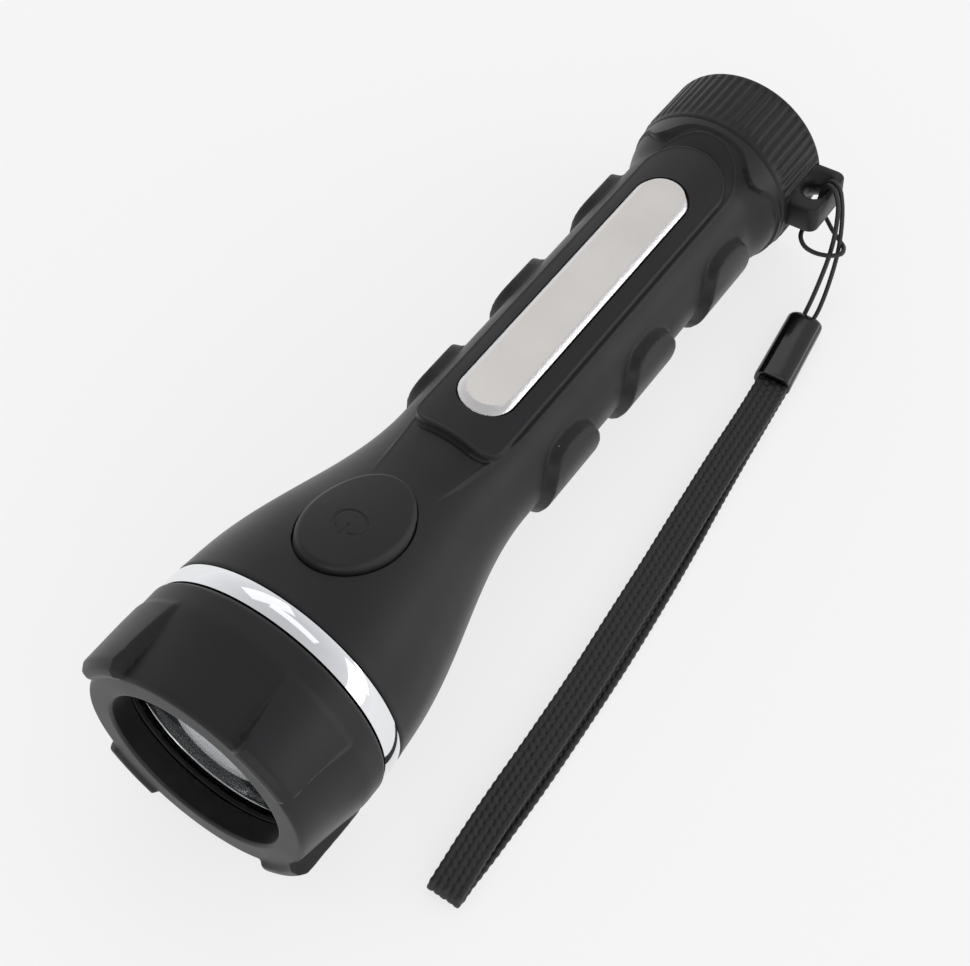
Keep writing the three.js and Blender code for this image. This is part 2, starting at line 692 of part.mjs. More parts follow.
// The ferrule widens a little towards the strap.
function ferrule() {
  const shape = roundedShape(0, 0, FERRULE_WIDTH, FERRULE_HEIGHT, 1.8);
  const body = prism(shape, 0, FERRULE_LENGTH, 4);
  const points = body.attributes.position;
  for (let i = 0; i < points.count; i += 1) {
    const spread = 1 + 0.12 * (points.getZ(i) / FERRULE_LENGTH);
    points.setX(i, points.getX(i) * spread);
  }
  return body.rotateX(Math.PI / 2).rotateZ(Math.PI / 2);
}

const crimp = place('cord_ferrule', ferrule(), GLOSS_BLACK, lanyard);
crimp.rotation.z = degToRad(6.6);
crimp.position.set(-73.4, 31.8, FERRULE_HEIGHT / 2 + 0.1);

const assembly = new THREE.Group();
assembly.add(torch, lanyard);

export default assembly;
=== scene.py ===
"""Looks of a rubber-covered battery torch and its wrist lanyard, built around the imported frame.

Sizes are in millimetres. Pieces of the torch are drawn in its own frame, with the beam along +X, the lanyard
lug towards +Y and the button up, and are then laid down in the row frame, in metres.
"""

import json
import logging
import math
from dataclasses import dataclass
from enum import Enum
from typing import Any, Sequence

import bpy
import numpy as np
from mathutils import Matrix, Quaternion, Vector

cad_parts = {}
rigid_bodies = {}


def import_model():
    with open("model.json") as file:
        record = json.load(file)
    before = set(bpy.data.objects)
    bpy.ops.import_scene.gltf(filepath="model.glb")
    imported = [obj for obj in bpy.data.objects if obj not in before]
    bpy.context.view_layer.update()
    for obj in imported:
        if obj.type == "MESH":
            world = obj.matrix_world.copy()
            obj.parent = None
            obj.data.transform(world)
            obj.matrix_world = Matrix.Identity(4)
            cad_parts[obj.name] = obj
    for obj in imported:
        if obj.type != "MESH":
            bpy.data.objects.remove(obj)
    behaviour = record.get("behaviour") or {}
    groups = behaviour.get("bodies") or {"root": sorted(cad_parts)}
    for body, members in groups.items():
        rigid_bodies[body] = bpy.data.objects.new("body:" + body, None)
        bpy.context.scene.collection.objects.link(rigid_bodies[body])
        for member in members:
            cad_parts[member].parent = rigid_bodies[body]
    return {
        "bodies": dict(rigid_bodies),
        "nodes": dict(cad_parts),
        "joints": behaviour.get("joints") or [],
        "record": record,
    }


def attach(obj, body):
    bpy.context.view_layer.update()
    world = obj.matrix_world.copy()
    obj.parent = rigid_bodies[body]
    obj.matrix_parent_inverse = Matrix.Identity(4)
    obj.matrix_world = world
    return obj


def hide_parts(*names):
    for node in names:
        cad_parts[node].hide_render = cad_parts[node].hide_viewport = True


LOG = logging.getLogger("torch")
MM = 0.001
LENGTH = 190.0
GAP = 0.3

# The torch's shape, from the same values as its solids. x is 0 at the rim and falls towards the tail.
NECK_START, NECK_END = -25.0, -80.0
NECK_R, TUBE_R = 25.3, 15.5
BODY_FRONT, BODY_REAR = -24.8, -173.0
COLLAR_R = 18.4
RUBBER_WALL = 2.0
BARREL_TUBE_R = 14.2
BUTTON_X, BUTTON_TILT = -45.7, 12.5
BUTTON_HALF_LENGTH, BUTTON_HALF_WIDTH = 13.4, 9.0


class Crease(Enum):
    """The angle above which an edge of a mesh is shaded sharp."""

    MOULDED = math.radians(50)
    STAMPED = math.radians(28)
    CUT = math.radians(14)


class Body(Enum):
    """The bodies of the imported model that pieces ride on."""

    TORCH = "torch_body"
    BUTTON = "button_pad"
    PLUNGER = "plunger"
    WINDOW = "window_carrier"
    BEZEL = "bezel_ring"
    SPRING = "spring_carrier"
    CAP = "cap_and_lanyard"


class Cut(Enum):
    """What carving does with its tools."""

    AWAY = "DIFFERENCE"
    JOIN = "UNION"


def linear(colour: str) -> tuple[float, float, float, float]:
    """Turns an sRGB hex colour into the linear colour that a shader takes.

    Args:
        colour: six hex digits after a hash sign.

    Returns:
        Red, green, blue and an alpha of 1.
    """
    parts = [int(colour[i : i + 2], 16) / 255 for i in (1, 3, 5)]
    red, green, blue = (p / 12.92 if p <= 0.04045 else ((p + 0.055) / 1.055) ** 2.4 for p in parts)
    return red, green, blue, 1.0


def smoothstep(value: Any, low: float, high: float) -> Any:
    """Rises smoothly from 0 at low to 1 at high.

    Args:
        value: a number or an array.
        low: where the rise starts.
        high: where it ends.

    Returns:
        The share of the rise, in the form of value.
    """
    t = np.clip((value - low) / (high - low), 0, 1)
    return t * t * (3 - 2 * t)


def blend(a: Any, b: Any, share: Any) -> Any:
    """Mixes a and b, with all of b where share is 1."""
    return a + (b - a) * share


def bump(distance: Any, width: float) -> Any:
    """A rounded ridge of height 1 on a line, as wide as twice width."""
    return np.exp(-((distance / width) ** 2))


def turns(count: int, full: float = 2 * math.pi) -> np.ndarray:
    """Evenly spaced angles of one full turn, without the last."""
    return np.arange(count) * full / count


def rotated(a: Any, b: Any, degrees: float) -> tuple[Any, Any]:
    """Turns the coordinates a and b of a plane, from a towards b."""
    cosine, sine = math.cos(math.radians(degrees)), math.sin(math.radians(degrees))
    return a * cosine - b * sine, a * sine + b * cosine


def at_height(plan: np.ndarray, height: float) -> np.ndarray:
    """Gives the points of a plan their height."""
    return np.column_stack([plan, np.full(len(plan), height)])


def smooth_route(points: Sequence[Sequence[float]], spacing: float) -> np.ndarray:
    """Runs a centripetal Catmull-Rom curve through points and samples it evenly.

    Args:
        points: the points that the curve goes through, in mm.
        spacing: the distance between samples, in mm.

    Returns:
        The samples, one row each.
    """
    given = np.asarray(points, float)
    padded = np.vstack([2 * given[0] - given[1], given, 2 * given[-1] - given[-2]])
    share = np.linspace(0, 1, 40, endpoint=False)[:, None]
    stretches = []
    for i in range(len(given) - 1):
        p0, p1, p2, p3 = padded[i : i + 4]
        d0, d1, d2 = (math.sqrt(np.linalg.norm(b - a)) for a, b in ((p0, p1), (p1, p2), (p2, p3)))
        start = ((p1 - p0) / d0 - (p2 - p0) / (d0 + d1) + (p2 - p1) / d1) * d1
        end = ((p2 - p1) / d1 - (p3 - p1) / (d1 + d2) + (p3 - p2) / d2) * d1
        square = -3 * p1 + 3 * p2 - 2 * start - end
        cube = 2 * p1 - 2 * p2 + start + end
        stretches.append(p1 + start * share + square * share**2 + cube * share**3)
    line = np.vstack([*stretches, given[-1:]])
    travelled = np.concatenate([[0], np.cumsum(np.linalg.norm(np.diff(line, axis=0), axis=1))])
    count = max(2, round(travelled[-1] / spacing) + 1)
    wanted = np.linspace(0, travelled[-1], count)
    return np.stack([np.interp(wanted, travelled, line[:, k]) for k in range(3)], axis=1)


def carried_frame(line: np.ndarray, across: Sequence[float]) -> tuple[np.ndarray, np.ndarray]:
    """Carries a direction along a line without twisting it.

    Args:
        line: the sampled line.
        across: the direction to carry, as it is at the start.

    Returns:
        The carried directions, and the directions square to them and to the line.
    """
    tangents = np.gradient(line, axis=0)
    tangents /= np.linalg.norm(tangents, axis=1, keepdims=True)
    carried = []
    direction = np.asarray(across, float)
    for tangent in tangents:
        direction = direction - direction.dot(tangent) * tangent
        direction /= np.linalg.norm(direction)
        carried.append(direction)
    widths = np.array(carried)
    return widths, np.cross(tangents, widths)


def softened(rows: Sequence[Sequence[float]], reach: float, steps: int = 4, closed: bool = True) -> np.ndarray:
    """Rounds the corners of an outline.

    Args:
        rows: the corners; two of them in a row may lie on the axis of a turned piece.
        reach: how far from a corner its rounding starts, in mm.
        steps: how many facets a rounding has.
        closed: whether the last corner joins the first.

    Returns:
        The outline with its corners rounded.
    """
    corners = np.asarray(rows, float)
    count = len(corners)
    result = []
    for i, corner in enumerate(corners):
        before = corners[i - 1] - corner
        after = corners[(i + 1) % count] - corner
        lengths = np.linalg.norm(before), np.linalg.norm(after)
        at_end = not closed and i in (0, count - 1)
        if at_end or min(lengths) < 1e-6 or (before / lengths[0]).dot(after / lengths[1]) < -0.985:
            result.append(corner)
            continue
        near = min(reach, 0.45 * lengths[0], 0.45 * lengths[1])
        start = corner + before / lengths[0] * near
        end = corner + after / lengths[1] * near
        for t in np.linspace(0, 1, steps + 1):
            result.append((1 - t) ** 2 * start + 2 * t * (1 - t) * corner + t * t * end)
    return np.array(result)


def refined(rows: np.ndarray, longest: float, closed: bool = True) -> np.ndarray:
    """Splits an outline's long sides so that none is longer than longest.

    Args:
        rows: the outline.
        longest: the longest side that is left, in mm.
        closed: whether the last point joins the first.

    Returns:
        The outline with the added points.
    """
    result = []
    last = len(rows) if closed else len(rows) - 1
    for i in range(last):
        start, end = rows[i], rows[(i + 1) % len(rows)]
        parts = max(1, math.ceil(np.linalg.norm(end - start) / longest))
        result.extend(start + (end - start) * k / parts for k in range(parts))
    if not closed:
        result.append(rows[-1])
    return np.array(result)


def neck_radius(x: Any) -> Any:
    """The radius of the neck and tube at x, without lip, flare or relief."""
    t = np.clip((NECK_START - x) / (NECK_START - NECK_END), 0, 1)
    return TUBE_R + (NECK_R - TUBE_R) * 0.5 * (1 + np.cos(np.pi * t))


def barrel_radius(x: Any) -> Any:
    """The outer radius of the barrel under the rubber."""
    return np.maximum(neck_radius(x) - RUBBER_WALL - GAP, BARREL_TUBE_R)


def base_radius(x: Any) -> Any:
    """The radius of the grip at x, with the lip behind the ring and the flare at the tail."""
    lip = 0.35 * np.exp((x - BODY_FRONT) / 1.5)
    flare = (COLLAR_R - 0.6 - TUBE_R) * smoothstep(-x, 163, 171.5)
    return neck_radius(x) + lip + flare


class TorchFrame:
    """Where the torch lies in the row frame."""

    def __init__(self, record: dict[str, Any]) -> None:
        """Reads the torch's place off the mount in the middle of its tail.

        Args:
            record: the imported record.
        """
        mount = next(m for m in record["mounts"] if m["name"] == "tail_end")
        self.beam = -np.array(mount["axis"], float)
        self.beam /= np.linalg.norm(self.beam)
        self.side = np.array([0.0, 1.0, 0.0])
        self.up = np.cross(self.beam, self.side)
        self.origin = np.array(mount["pos_m"]) / MM + LENGTH * self.beam

    def lay(self, points: np.ndarray) -> np.ndarray:
        """Moves points of the torch's frame to the row frame, in mm."""
        return self.origin + points @ np.array([self.beam, self.side, self.up])


def around(x: Any, radius: Any, angle: Any) -> np.ndarray:
    """Points at x, radius and angle in degrees, measured from the top towards +Y.

    Args:
        x: place along the axis, in mm.
        radius: distance from the axis, in mm.
        angle: angle in degrees.

    Returns:
        The points, with x, y and z in their last axis.
    """
    x, radius, turn = np.broadcast_arrays(x, radius, np.radians(angle))
    return np.stack([x, radius * np.sin(turn), radius * np.cos(turn)], axis=-1)


def button_frame(points: np.ndarray) -> np.ndarray:
    """Moves points from the button's own frame to the torch's frame."""
    x, z = rotated(points[..., 0], points[..., 2], BUTTON_TILT)
    return np.stack([x + BUTTON_X, points[..., 1], z + float(neck_radius(BUTTON_X))], axis=-1)


def quads(rows: int, columns: int, join_rows: bool) -> list[list[int]]:
    """Faces of a grid whose columns go round.

    Args:
        rows: how many rings there are.
        columns: how many points a ring has.
        join_rows: whether the last ring joins the first.

    Returns:
        Four corners a face.
    """
    i = np.arange(rows if join_rows else rows - 1)[:, None]
    j = np.arange(columns)[None, :]
    behind, beside = (i + 1) % rows, (j + 1) % columns
    corners = [i * columns + j, i * columns + beside, behind * columns + beside, behind * columns + j]
    return np.stack([np.broadcast_to(c, (len(i), columns)) for c in corners], axis=-1).reshape(-1, 4).tolist()


def new_mesh(name: str, points: np.ndarray, faces: list[list[int]]) -> bpy.types.Object:
    """Makes an object of points in mm of the row frame.

    Args:
        name: the object's name.
        points: one row a point.
        faces: the corners of each face.

    Returns:
        The object, linked to the scene.
    """
    mesh = bpy.data.meshes.new(name)
    mesh.from_pydata((points.reshape(-1, 3) * MM).tolist(), [], faces)
    mesh.validate()
    piece = bpy.data.objects.new(name, mesh)
    bpy.context.scene.collection.objects.link(piece)
    return piece


def face_outwards(piece: bpy.types.Object) -> None:
    """Turns all faces of a closed mesh outwards."""
    mesh = piece.data
    corners = np.empty(len(mesh.vertices) * 3)
    mesh.vertices.foreach_get("co", corners)
    corners = corners.reshape(-1, 3)
    mesh.calc_loop_triangles()
    triangles = np.empty(len(mesh.loop_triangles) * 3, dtype=np.int64)
    mesh.loop_triangles.foreach_get("vertices", triangles)
    a, b, c = (corners[triangles.reshape(-1, 3)[:, k]] for k in range(3))
    if np.einsum("ij,ij->i", a, np.cross(b, c)).sum() < 0:
        mesh.flip_normals()


def skin(name: str, grid: np.ndarray, closed_rows: bool = True) -> bpy.types.Object:
    """Makes a closed mesh of rings of points.

    Args:
        name: the object's name.
        grid: rows by columns by three, in mm of the row frame.
        closed_rows: whether the last ring joins the first; the end rings are filled otherwise.

    Returns:
        The object.
    """
    rows, columns = grid.shape[:2]
    faces = quads(rows, columns, closed_rows)
    if not closed_rows:
        faces.append(list(range(columns))[::-1])
        faces.append(list(range((rows - 1) * columns, rows * columns)))
    piece = new_mesh(name, grid, faces)
    face_outwards(piece)
    return piece


def domed(name: str, first: np.ndarray, grid: np.ndarray, last: np.ndarray) -> bpy.types.Object:
    """Makes a closed mesh of rings between two end points.

    Args:
        name: the object's name.
        first: the point that the first ring closes to.
        grid: rows by columns by three, in mm of the row frame.
        last: the point that the last ring closes to.

    Returns:
        The object.
    """
    rows, columns = grid.shape[:2]
    faces = quads(rows, columns, False)
    top, bottom = rows * columns, rows * columns + 1
    for j in range(columns):
        beside = (j + 1) % columns
        faces.append([top, beside, j])
        faces.append([bottom, (rows - 1) * columns + j, (rows - 1) * columns + beside])
    points = np.vstack([grid.reshape(-1, 3), first[None], last[None]])
    piece = new_mesh(name, points, faces)
    face_outwards(piece)
    return piece


def turned(
    name: str, frame: TorchFrame, outline: Sequence[Sequence[float]], segments: int
) -> bpy.types.Object:
    """Turns an outline of x and radius round the torch's axis.

    Args:
        name: the object's name.
        frame: where the torch lies.
        outline: the closed outline; it may start and end on the axis.
        segments: how many facets a turn has.

    Returns:
        The object.
    """
    rows = np.asarray(outline, float)
    angles = turns(segments, 360)
    if rows[0, 1] > 1e-6:
        return skin(name, frame.lay(around(rows[:, :1], rows[:, 1:], angles[None])))
    ends = frame.lay(around(rows[[0, -1], 0], 0.0, 0.0))
    inner = rows[1:-1]
    return domed(name, ends[0], frame.lay(around(inner[:, :1], inner[:, 1:], angles[None])), ends[1])


def swept(name: str, line: np.ndarray, radius: Any, sides: int) -> bpy.types.Object:
    """Makes a round rod along a line.

    Args:
        name: the object's name.
        line: the centreline, in mm of the row frame.
        radius: one radius, or one for each ring and side.
        sides: how many sides the rod has.

    Returns:
        The object.
    """
    widths, heights = carried_frame(line, (0.3, 0.2, 0.93))
    turn = turns(sides)
    spokes = np.cos(turn)[None, :, None] * widths[:, None] + np.sin(turn)[None, :, None] * heights[:, None]
    reach = np.broadcast_to(np.asarray(radius, float), (len(line), sides))[..., None]
    return skin(name, line[:, None] + spokes * reach, closed_rows=False)


def rounded_plan(x: float, y: float, length: float, width: float, corner: float, steps: int) -> np.ndarray:
    """The outline of a rounded rectangle, round its middle at (x, y).

    Args:
        x: middle along X.
        y: middle along Y.
        length: size along X.
        width: size along Y.
        corner: corner radius.
        steps: how many facets a corner has.

    Returns:
        The points of the outline.
    """
    points = []
    for sx, sy, start in ((1, 1, 0), (-1, 1, 90), (-1, -1, 180), (1, -1, 270)):
        turn = np.radians(np.linspace(start, start + 90, steps + 1))
        middle = np.array([x + sx * (length / 2 - corner), y + sy * (width / 2 - corner)])
        points.append(middle + corner * np.stack([np.cos(turn), np.sin(turn)], axis=1))
    return np.vstack(points)


def carve(piece: bpy.types.Object, tools: Sequence[bpy.types.Object], cut: Cut) -> None:
    """Cuts tools out of a piece, or joins them to it, and removes them.

    Args:
        piece: the piece that stays.
        tools: closed meshes.
        cut: what is done with them.
    """
    for tool in tools:
        modifier = piece.modifiers.new("carve", "BOOLEAN")
        modifier.operation = cut.value
        modifier.solver = "MANIFOLD"
        modifier.object = tool
        bpy.context.view_layer.update()
        result = bpy.data.meshes.new_from_object(piece.evaluated_get(bpy.context.evaluated_depsgraph_get()))
        piece.modifiers.clear()
        piece.data = result
        bpy.data.objects.remove(tool)


def add_node(
    tree: bpy.types.NodeTree,
    kind: str,
    settings: dict[Any, Any] | None = None,
    links: dict[Any, Any] | None = None,
) -> bpy.types.Node:
    """Adds a node with its settings and links.

    Args:
        tree: the node tree.
        kind: the node's type.
        settings: values of the node's inputs, or of its own properties.
        links: for each input, the output that feeds it.

    Returns:
        The node.
    """
    node = tree.nodes.new(kind)
    for key, value in (settings or {}).items():
        if isinstance(key, int) or key in node.inputs:
            node.inputs[key].default_value = value
        else:
            setattr(node, key, value)
    for key, source in (links or {}).items():
        tree.links.new(source, node.inputs[key])
    return node


@dataclass(frozen=True)
class Finish:
    """A surface: what its material is and how it was made.

    The sizes of the grain and of the patches are in mm, and the grain's depth is in metres.
    """

    name: str
    colour: str
    roughness: float
    slot: str
    metallic: float = 0.0
    ior: float = 1.5
    grain: float = 0.6
    grain_shown: float = 0.05
    grain_depth: float = 0.00005
    patch: float = 9.0
    patch_spread: float = 0.05

    def material(self) -> bpy.types.Material:
        """Makes the material, or returns the one already made."""
        made = bpy.data.materials.get(self.name)
        if made:
            return made
        material = bpy.data.materials.new(self.name)
        material.use_nodes = True
        material.diffuse_color = linear(self.colour)
        tree = material.node_tree
        shader = tree.nodes["Principled BSDF"]
        shader.inputs["Base Color"].default_value = linear(self.colour)
        shader.inputs["Roughness"].default_value = self.roughness
        shader.inputs["Metallic"].default_value = self.metallic
        shader.inputs["IOR"].default_value = self.ior
        self.dress(tree, shader)
        return material

    def dress(self, tree: bpy.types.NodeTree, shader: bpy.types.Node) -> None:
        """Adds the pattern that this surface shows.

        Args:
            tree: the material's node tree.
            shader: its shader.
        """
        place = add_node(tree, "ShaderNodeTexCoord")
        self.relief(tree, shader, self.noise(tree, place, self.grain, 3.0))
        self.vary_roughness(tree, shader, place, self.patch_spread)

    def noise(
        self, tree: bpy.types.NodeTree, place: bpy.types.Node, size: float, detail: float = 2.0, swirl: float = 0.0
    ) -> bpy.types.NodeSocket:
        """Adds an uneven pattern.

        Args:
            tree: the material's node tree.
            place: the coordinate node.
            size: the size of the pattern, in mm.
            detail: how many finer layers it has.
            swirl: how far it is distorted.

        Returns:
            The output that gives its value.
        """
        settings = {"Scale": 1 / (size * MM), "Detail": detail, "Distortion": swirl}
        return add_node(tree, "ShaderNodeTexNoise", settings, {"Vector": place.outputs["Object"]}).outputs["Fac"]

    def relief(self, tree: bpy.types.NodeTree, shader: bpy.types.Node, height: Any) -> None:
        """Links the grain's height to the shader as a bump.

        Args:
            tree: the material's node tree.
            shader: its shader.
            height: the output that gives the height.
        """
        settings = {"Strength": self.grain_shown, "Distance": self.grain_depth}
        bumps = add_node(tree, "ShaderNodeBump", settings, {"Height": height})
        tree.links.new(bumps.outputs["Normal"], shader.inputs["Normal"])

    def vary_roughness(
        self, tree: bpy.types.NodeTree, shader: bpy.types.Node, place: bpy.types.Node, spread: float
    ) -> None:
        """Makes the gloss uneven in soft patches, as handling does.

        Args:
            tree: the material's node tree.
            shader: its shader.
            place: the coordinate node.
            spread: how far the roughness goes up and down.
        """
        clouds = self.noise(tree, place, self.patch)
        low, high = self.roughness - spread, self.roughness + spread
        limits = {"From Min": 0.3, "From Max": 0.7, "To Min": low, "To Max": high}
        gloss = add_node(tree, "ShaderNodeMapRange", limits, {"Value": clouds})
        tree.links.new(gloss.outputs["Result"], shader.inputs["Roughness"])


@dataclass(frozen=True)
class SoftTouchRubber(Finish):
    """Thermoplastic rubber moulded in a matt die: a charcoal skin with a broad, dull sheen and a little lint."""

    grain: float = 0.45
    grain_shown: float = 0.12
    grain_depth: float = 0.00003
    patch: float = 14.0
    sheen: float = 0.12
    sheen_roughness: float = 0.35
    speck_colour: str = "#8b8b88"
    speck_spacing: float = 5.0
    speck_size: float = 0.13
    speck_strength: float = 0.8
    bare_share: float = 0.78

    def dress(self, tree: bpy.types.NodeTree, shader: bpy.types.Node) -> None:
        """Adds the die's fine grain, uneven sheen and sparse specks of dust."""
        shader.inputs["Sheen Weight"].default_value = self.sheen
        shader.inputs["Sheen Roughness"].default_value = self.sheen_roughness
        place = add_node(tree, "ShaderNodeTexCoord")
        self.vary_roughness(tree, shader, place, self.patch_spread)
        scale = {"Scale": 1 / (self.speck_spacing * MM)}
        cells = add_node(tree, "ShaderNodeTexVoronoi", scale, {"Vector": place.outputs["Object"]})
        close = self.speck_size / self.speck_spacing
        limits = {"From Min": close * 0.6, "From Max": close * 1.4, "To Min": self.speck_strength, "To Max": 0.0}
        near = add_node(tree, "ShaderNodeMapRange", limits, {"Value": cells.outputs["Distance"]})
        chosen = add_node(tree, "ShaderNodeSeparateColor", {}, {"Color": cells.outputs["Color"]})
        bare = {"operation": "GREATER_THAN", 1: self.bare_share}
        few = add_node(tree, "ShaderNodeMath", bare, {0: chosen.outputs["Red"]})
        factors = {0: near.outputs["Result"], 1: few.outputs["Value"]}
        amount = add_node(tree, "ShaderNodeMath", {"operation": "MULTIPLY"}, factors)
        colours = {"data_type": "RGBA", 6: linear(self.colour), 7: linear(self.speck_colour)}
        mixed = add_node(tree, "ShaderNodeMix", colours, {0: amount.outputs["Value"]})
        tree.links.new(mixed.outputs[2], shader.inputs["Base Color"])
        self.relief(tree, shader, self.noise(tree, place, self.grain))


@dataclass(frozen=True)
class WovenNylon(Finish):
    """Nylon braid: black filaments with a low sheen on the crown of each stitch."""

    # A filament, drawn coarser than the real 0.03 mm so that it shows.
    grain: float = 0.16
    grain_shown: float = 0.35
    grain_depth: float = 0.00008
    patch: float = 3.0
    sheen: float = 0.06
    sheen_roughness: float = 0.4
    faded_colour: str = "#181815"

    def dress(self, tree: bpy.types.NodeTree, shader: bpy.types.Node) -> None:
        """Adds the filaments and a slight fading."""
        place = add_node(tree, "ShaderNodeTexCoord")
        shader.inputs["Sheen Weight"].default_value = self.sheen
        shader.inputs["Sheen Roughness"].default_value = self.sheen_roughness
        self.relief(tree, shader, self.noise(tree, place, self.grain, swirl=0.6))
        colours = {"data_type": "RGBA", 6: linear(self.colour), 7: linear(self.faded_colour)}
        mixed = add_node(tree, "ShaderNodeMix", colours, {0: self.noise(tree, place, self.patch)})
        tree.links.new(mixed.outputs[2], shader.inputs["Base Color"])


@dataclass(frozen=True)
class PolishedMetal(Finish):
    """Metal plated or vapour-coated to a mirror: sharp reflections that swim a little."""

    metallic: float = 1.0
    grain: float = 9.0
    grain_shown: float = 0.6
    grain_depth: float = 0.00004
    patch: float = 2.5
    uneven_share: float = 0.5

    def dress(self, tree: bpy.types.NodeTree, shader: bpy.types.Node) -> None:
        """Adds the slow ripple that a thin plated part has."""
        place = add_node(tree, "ShaderNodeTexCoord")
        self.relief(tree, shader, self.noise(tree, place, self.grain, 1.0))
        self.vary_roughness(tree, shader, place, self.roughness * self.uneven_share)


@dataclass(frozen=True)
class BrushedSteel(Finish):
    """Stainless steel with a fine lengthwise brushing: a soft even grey with stretched reflections."""

    metallic: float = 1.0
    grain_shown: float = 0.12
    grain_depth: float = 0.00002
    patch: float = 12.0
    patch_spread: float = 0.04
    stroke: float = 18.0
    pitch: float = 0.12

    def dress(self, tree: bpy.types.NodeTree, shader: bpy.types.Node) -> None:
        """Adds strokes along X that are far longer than they are wide."""
        place = add_node(tree, "ShaderNodeTexCoord")
        sizes = (1 / (self.stroke * MM), 1 / (self.pitch * MM), 1 / (self.pitch * MM))
        stretched = add_node(tree, "ShaderNodeMapping", {"Scale": sizes}, {"Vector": place.outputs["Object"]})
        whole = {"Scale": 1.0, "Detail": 2.0}
        strokes = add_node(tree, "ShaderNodeTexNoise", whole, {"Vector": stretched.outputs["Vector"]})
        self.relief(tree, shader, strokes.outputs["Fac"])
        self.vary_roughness(tree, shader, place, self.patch_spread)


@dataclass(frozen=True)
class RolledEdge(Finish):
    """The plate's bevel as pressed and tumbled: finely mottled with pits, and given a lighter colour than the face
    as a painted highlight.
    """

    metallic: float = 1.0
    grain: float = 0.45
    grain_shown: float = 0.5
    grain_depth: float = 0.00012
    patch: float = 1.5


@dataclass(frozen=True)
class ClearAcrylic(Finish):
    """Cast acrylic, polished on both faces: clear, with the faintest haze from wiping."""

    patch: float = 4.0
    haze: float = 0.06

    def dress(self, tree: bpy.types.NodeTree, shader: bpy.types.Node) -> None:
        """Makes the shader let light through and adds the haze."""
        shader.inputs["Transmission Weight"].default_value = 1.0
        place = add_node(tree, "ShaderNodeTexCoord")
        limits = {"From Min": 0.45, "From Max": 0.75, "To Min": 0.0, "To Max": self.haze}
        wiped = {"Value": self.noise(tree, place, self.patch, 4.0)}
        spread = add_node(tree, "ShaderNodeMapRange", limits, wiped)
        tree.links.new(spread.outputs["Result"], shader.inputs["Roughness"])


# The matt die leaves the rubber charcoal and dull, with a broad sheen and no reflections.
RUBBER = SoftTouchRubber("moulded_soft_touch_rubber", "#18181a", 0.44, "rubber", ior=1.37)
# Pressed in a smooth die: near black, with a soft and slightly oily gloss.
SILICONE = Finish("moulded_silicone", "#161616", 0.42, "silicone", ior=1.41)
# Braiding puts a small dull light on each stitch and black between the stitches.
NYLON = WovenNylon("braided_nylon", "#0b0b0a", 0.5, "braid", ior=1.53)
# The polished die leaves clear, dark reflections on black.
GLOSS_ABS = Finish("gloss_moulded_abs", "#0d0d0e", 0.14, "gloss_black", ior=1.54)
# The etched die leaves an even dark grey that reflects nothing clearly.
BLACK_ABS = Finish("matt_moulded_abs", "#1c1c1d", 0.5, "black_plastic", ior=1.54)
# Acetal comes out of its die ivory white and waxy, with a soft gloss.
WHITE_ACETAL = Finish("moulded_white_acetal", "#e0ddd6", 0.4, "white_plastic", ior=1.48)
# Bright chromium on a moulding: a mirror that shows the moulding's slow waves.
CHROME = PolishedMetal("chromed_plastic", "#eeeff1", 0.05, "chrome")
# Aluminium vapour on a lacquered moulding: a sharp mirror, a little greyer than chromium.
MIRROR = PolishedMetal("aluminised_reflector", "#e6e6e6", 0.04, "reflector_mirror")
# Brushing along the sheet draws the reflections of the warm grey plate out along it.
STEEL = BrushedSteel("brushed_stainless_steel", "#c8c5c1", 0.28, "steel")
# Tumbling leaves the bevel finely pitted and glossier; its colour, lighter than the face's, is a painted highlight
# for the light the bevel catches.
STEEL_EDGE_PAINTED_HIGHLIGHT = RolledEdge("tumbled_stainless_edge_painted_highlight", "#dbd9d8", 0.2, "steel")
# Dull nickel on wire and stampings: pale grey with blurred reflections.
SPRING_STEEL = PolishedMetal("nickelled_spring_steel", "#c9c7c2", 0.22, "steel")
# Brass strip as it leaves the press: yellow with blurred reflections.
BRASS = PolishedMetal("stamped_brass", "#c9a350", 0.26, "brass")
# Polishing both faces leaves only what the window reflects to be seen of it.
CLEAR = ClearAcrylic("polished_clear_acrylic", "#f7f9fa", 0.0, "clear", ior=1.49)
# Lacquer cured over a glass-fibre board: an even green with a half gloss.
SOLDER_MASK = Finish("solder_masked_board", "#1d5a38", 0.32, "board", ior=1.53)
# Extruding draws the insulation smooth: an even red with a half gloss.
PVC_RED = Finish("extruded_red_pvc", "#a82a22", 0.34, "wire", ior=1.53)
# Film shrunk tight round the cell: smooth slate blue with a satin gloss.
SLEEVE = Finish("shrunk_pvc_sleeve", "#4a5a6b", 0.28, "cell", ior=1.53)
# A silicone drop cured over yellow phosphor: pale yellow under a wet gloss.
PHOSPHOR = Finish("silicone_dome_over_phosphor", "#f3e7a2", 0.12, "emitter", ior=1.41)


def dress(piece: bpy.types.Object, finish: Finish, crease: Crease) -> bpy.types.Object:
    """Gives a piece its finish and its sharp edges.

    Args:
        piece: the piece.
        finish: the finish of all its faces.
        crease: the angle above which its edges are sharp.

    Returns:
        The piece.
    """
    piece.data.materials.clear()
    piece.data.materials.append(finish.material())
    piece.data.shade_smooth()
    piece.data.set_sharp_from_angle(angle=crease.value)
    return piece


def fit(piece: bpy.types.Object, body: Body, *nodes: str) -> bpy.types.Object:
    """Makes a piece ride on its body in place of CAD nodes.

    Args:
        piece: the dressed piece.
        body: the body that it moves with.
        nodes: the CAD nodes that it stands for.

    Returns:
        The piece.
    """
    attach(piece, body.value)
    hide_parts(*nodes)
    LOG.info("%s on %s for %s: %d faces", piece.name, body.value, ", ".join(nodes), len(piece.data.polygons))
    return piece


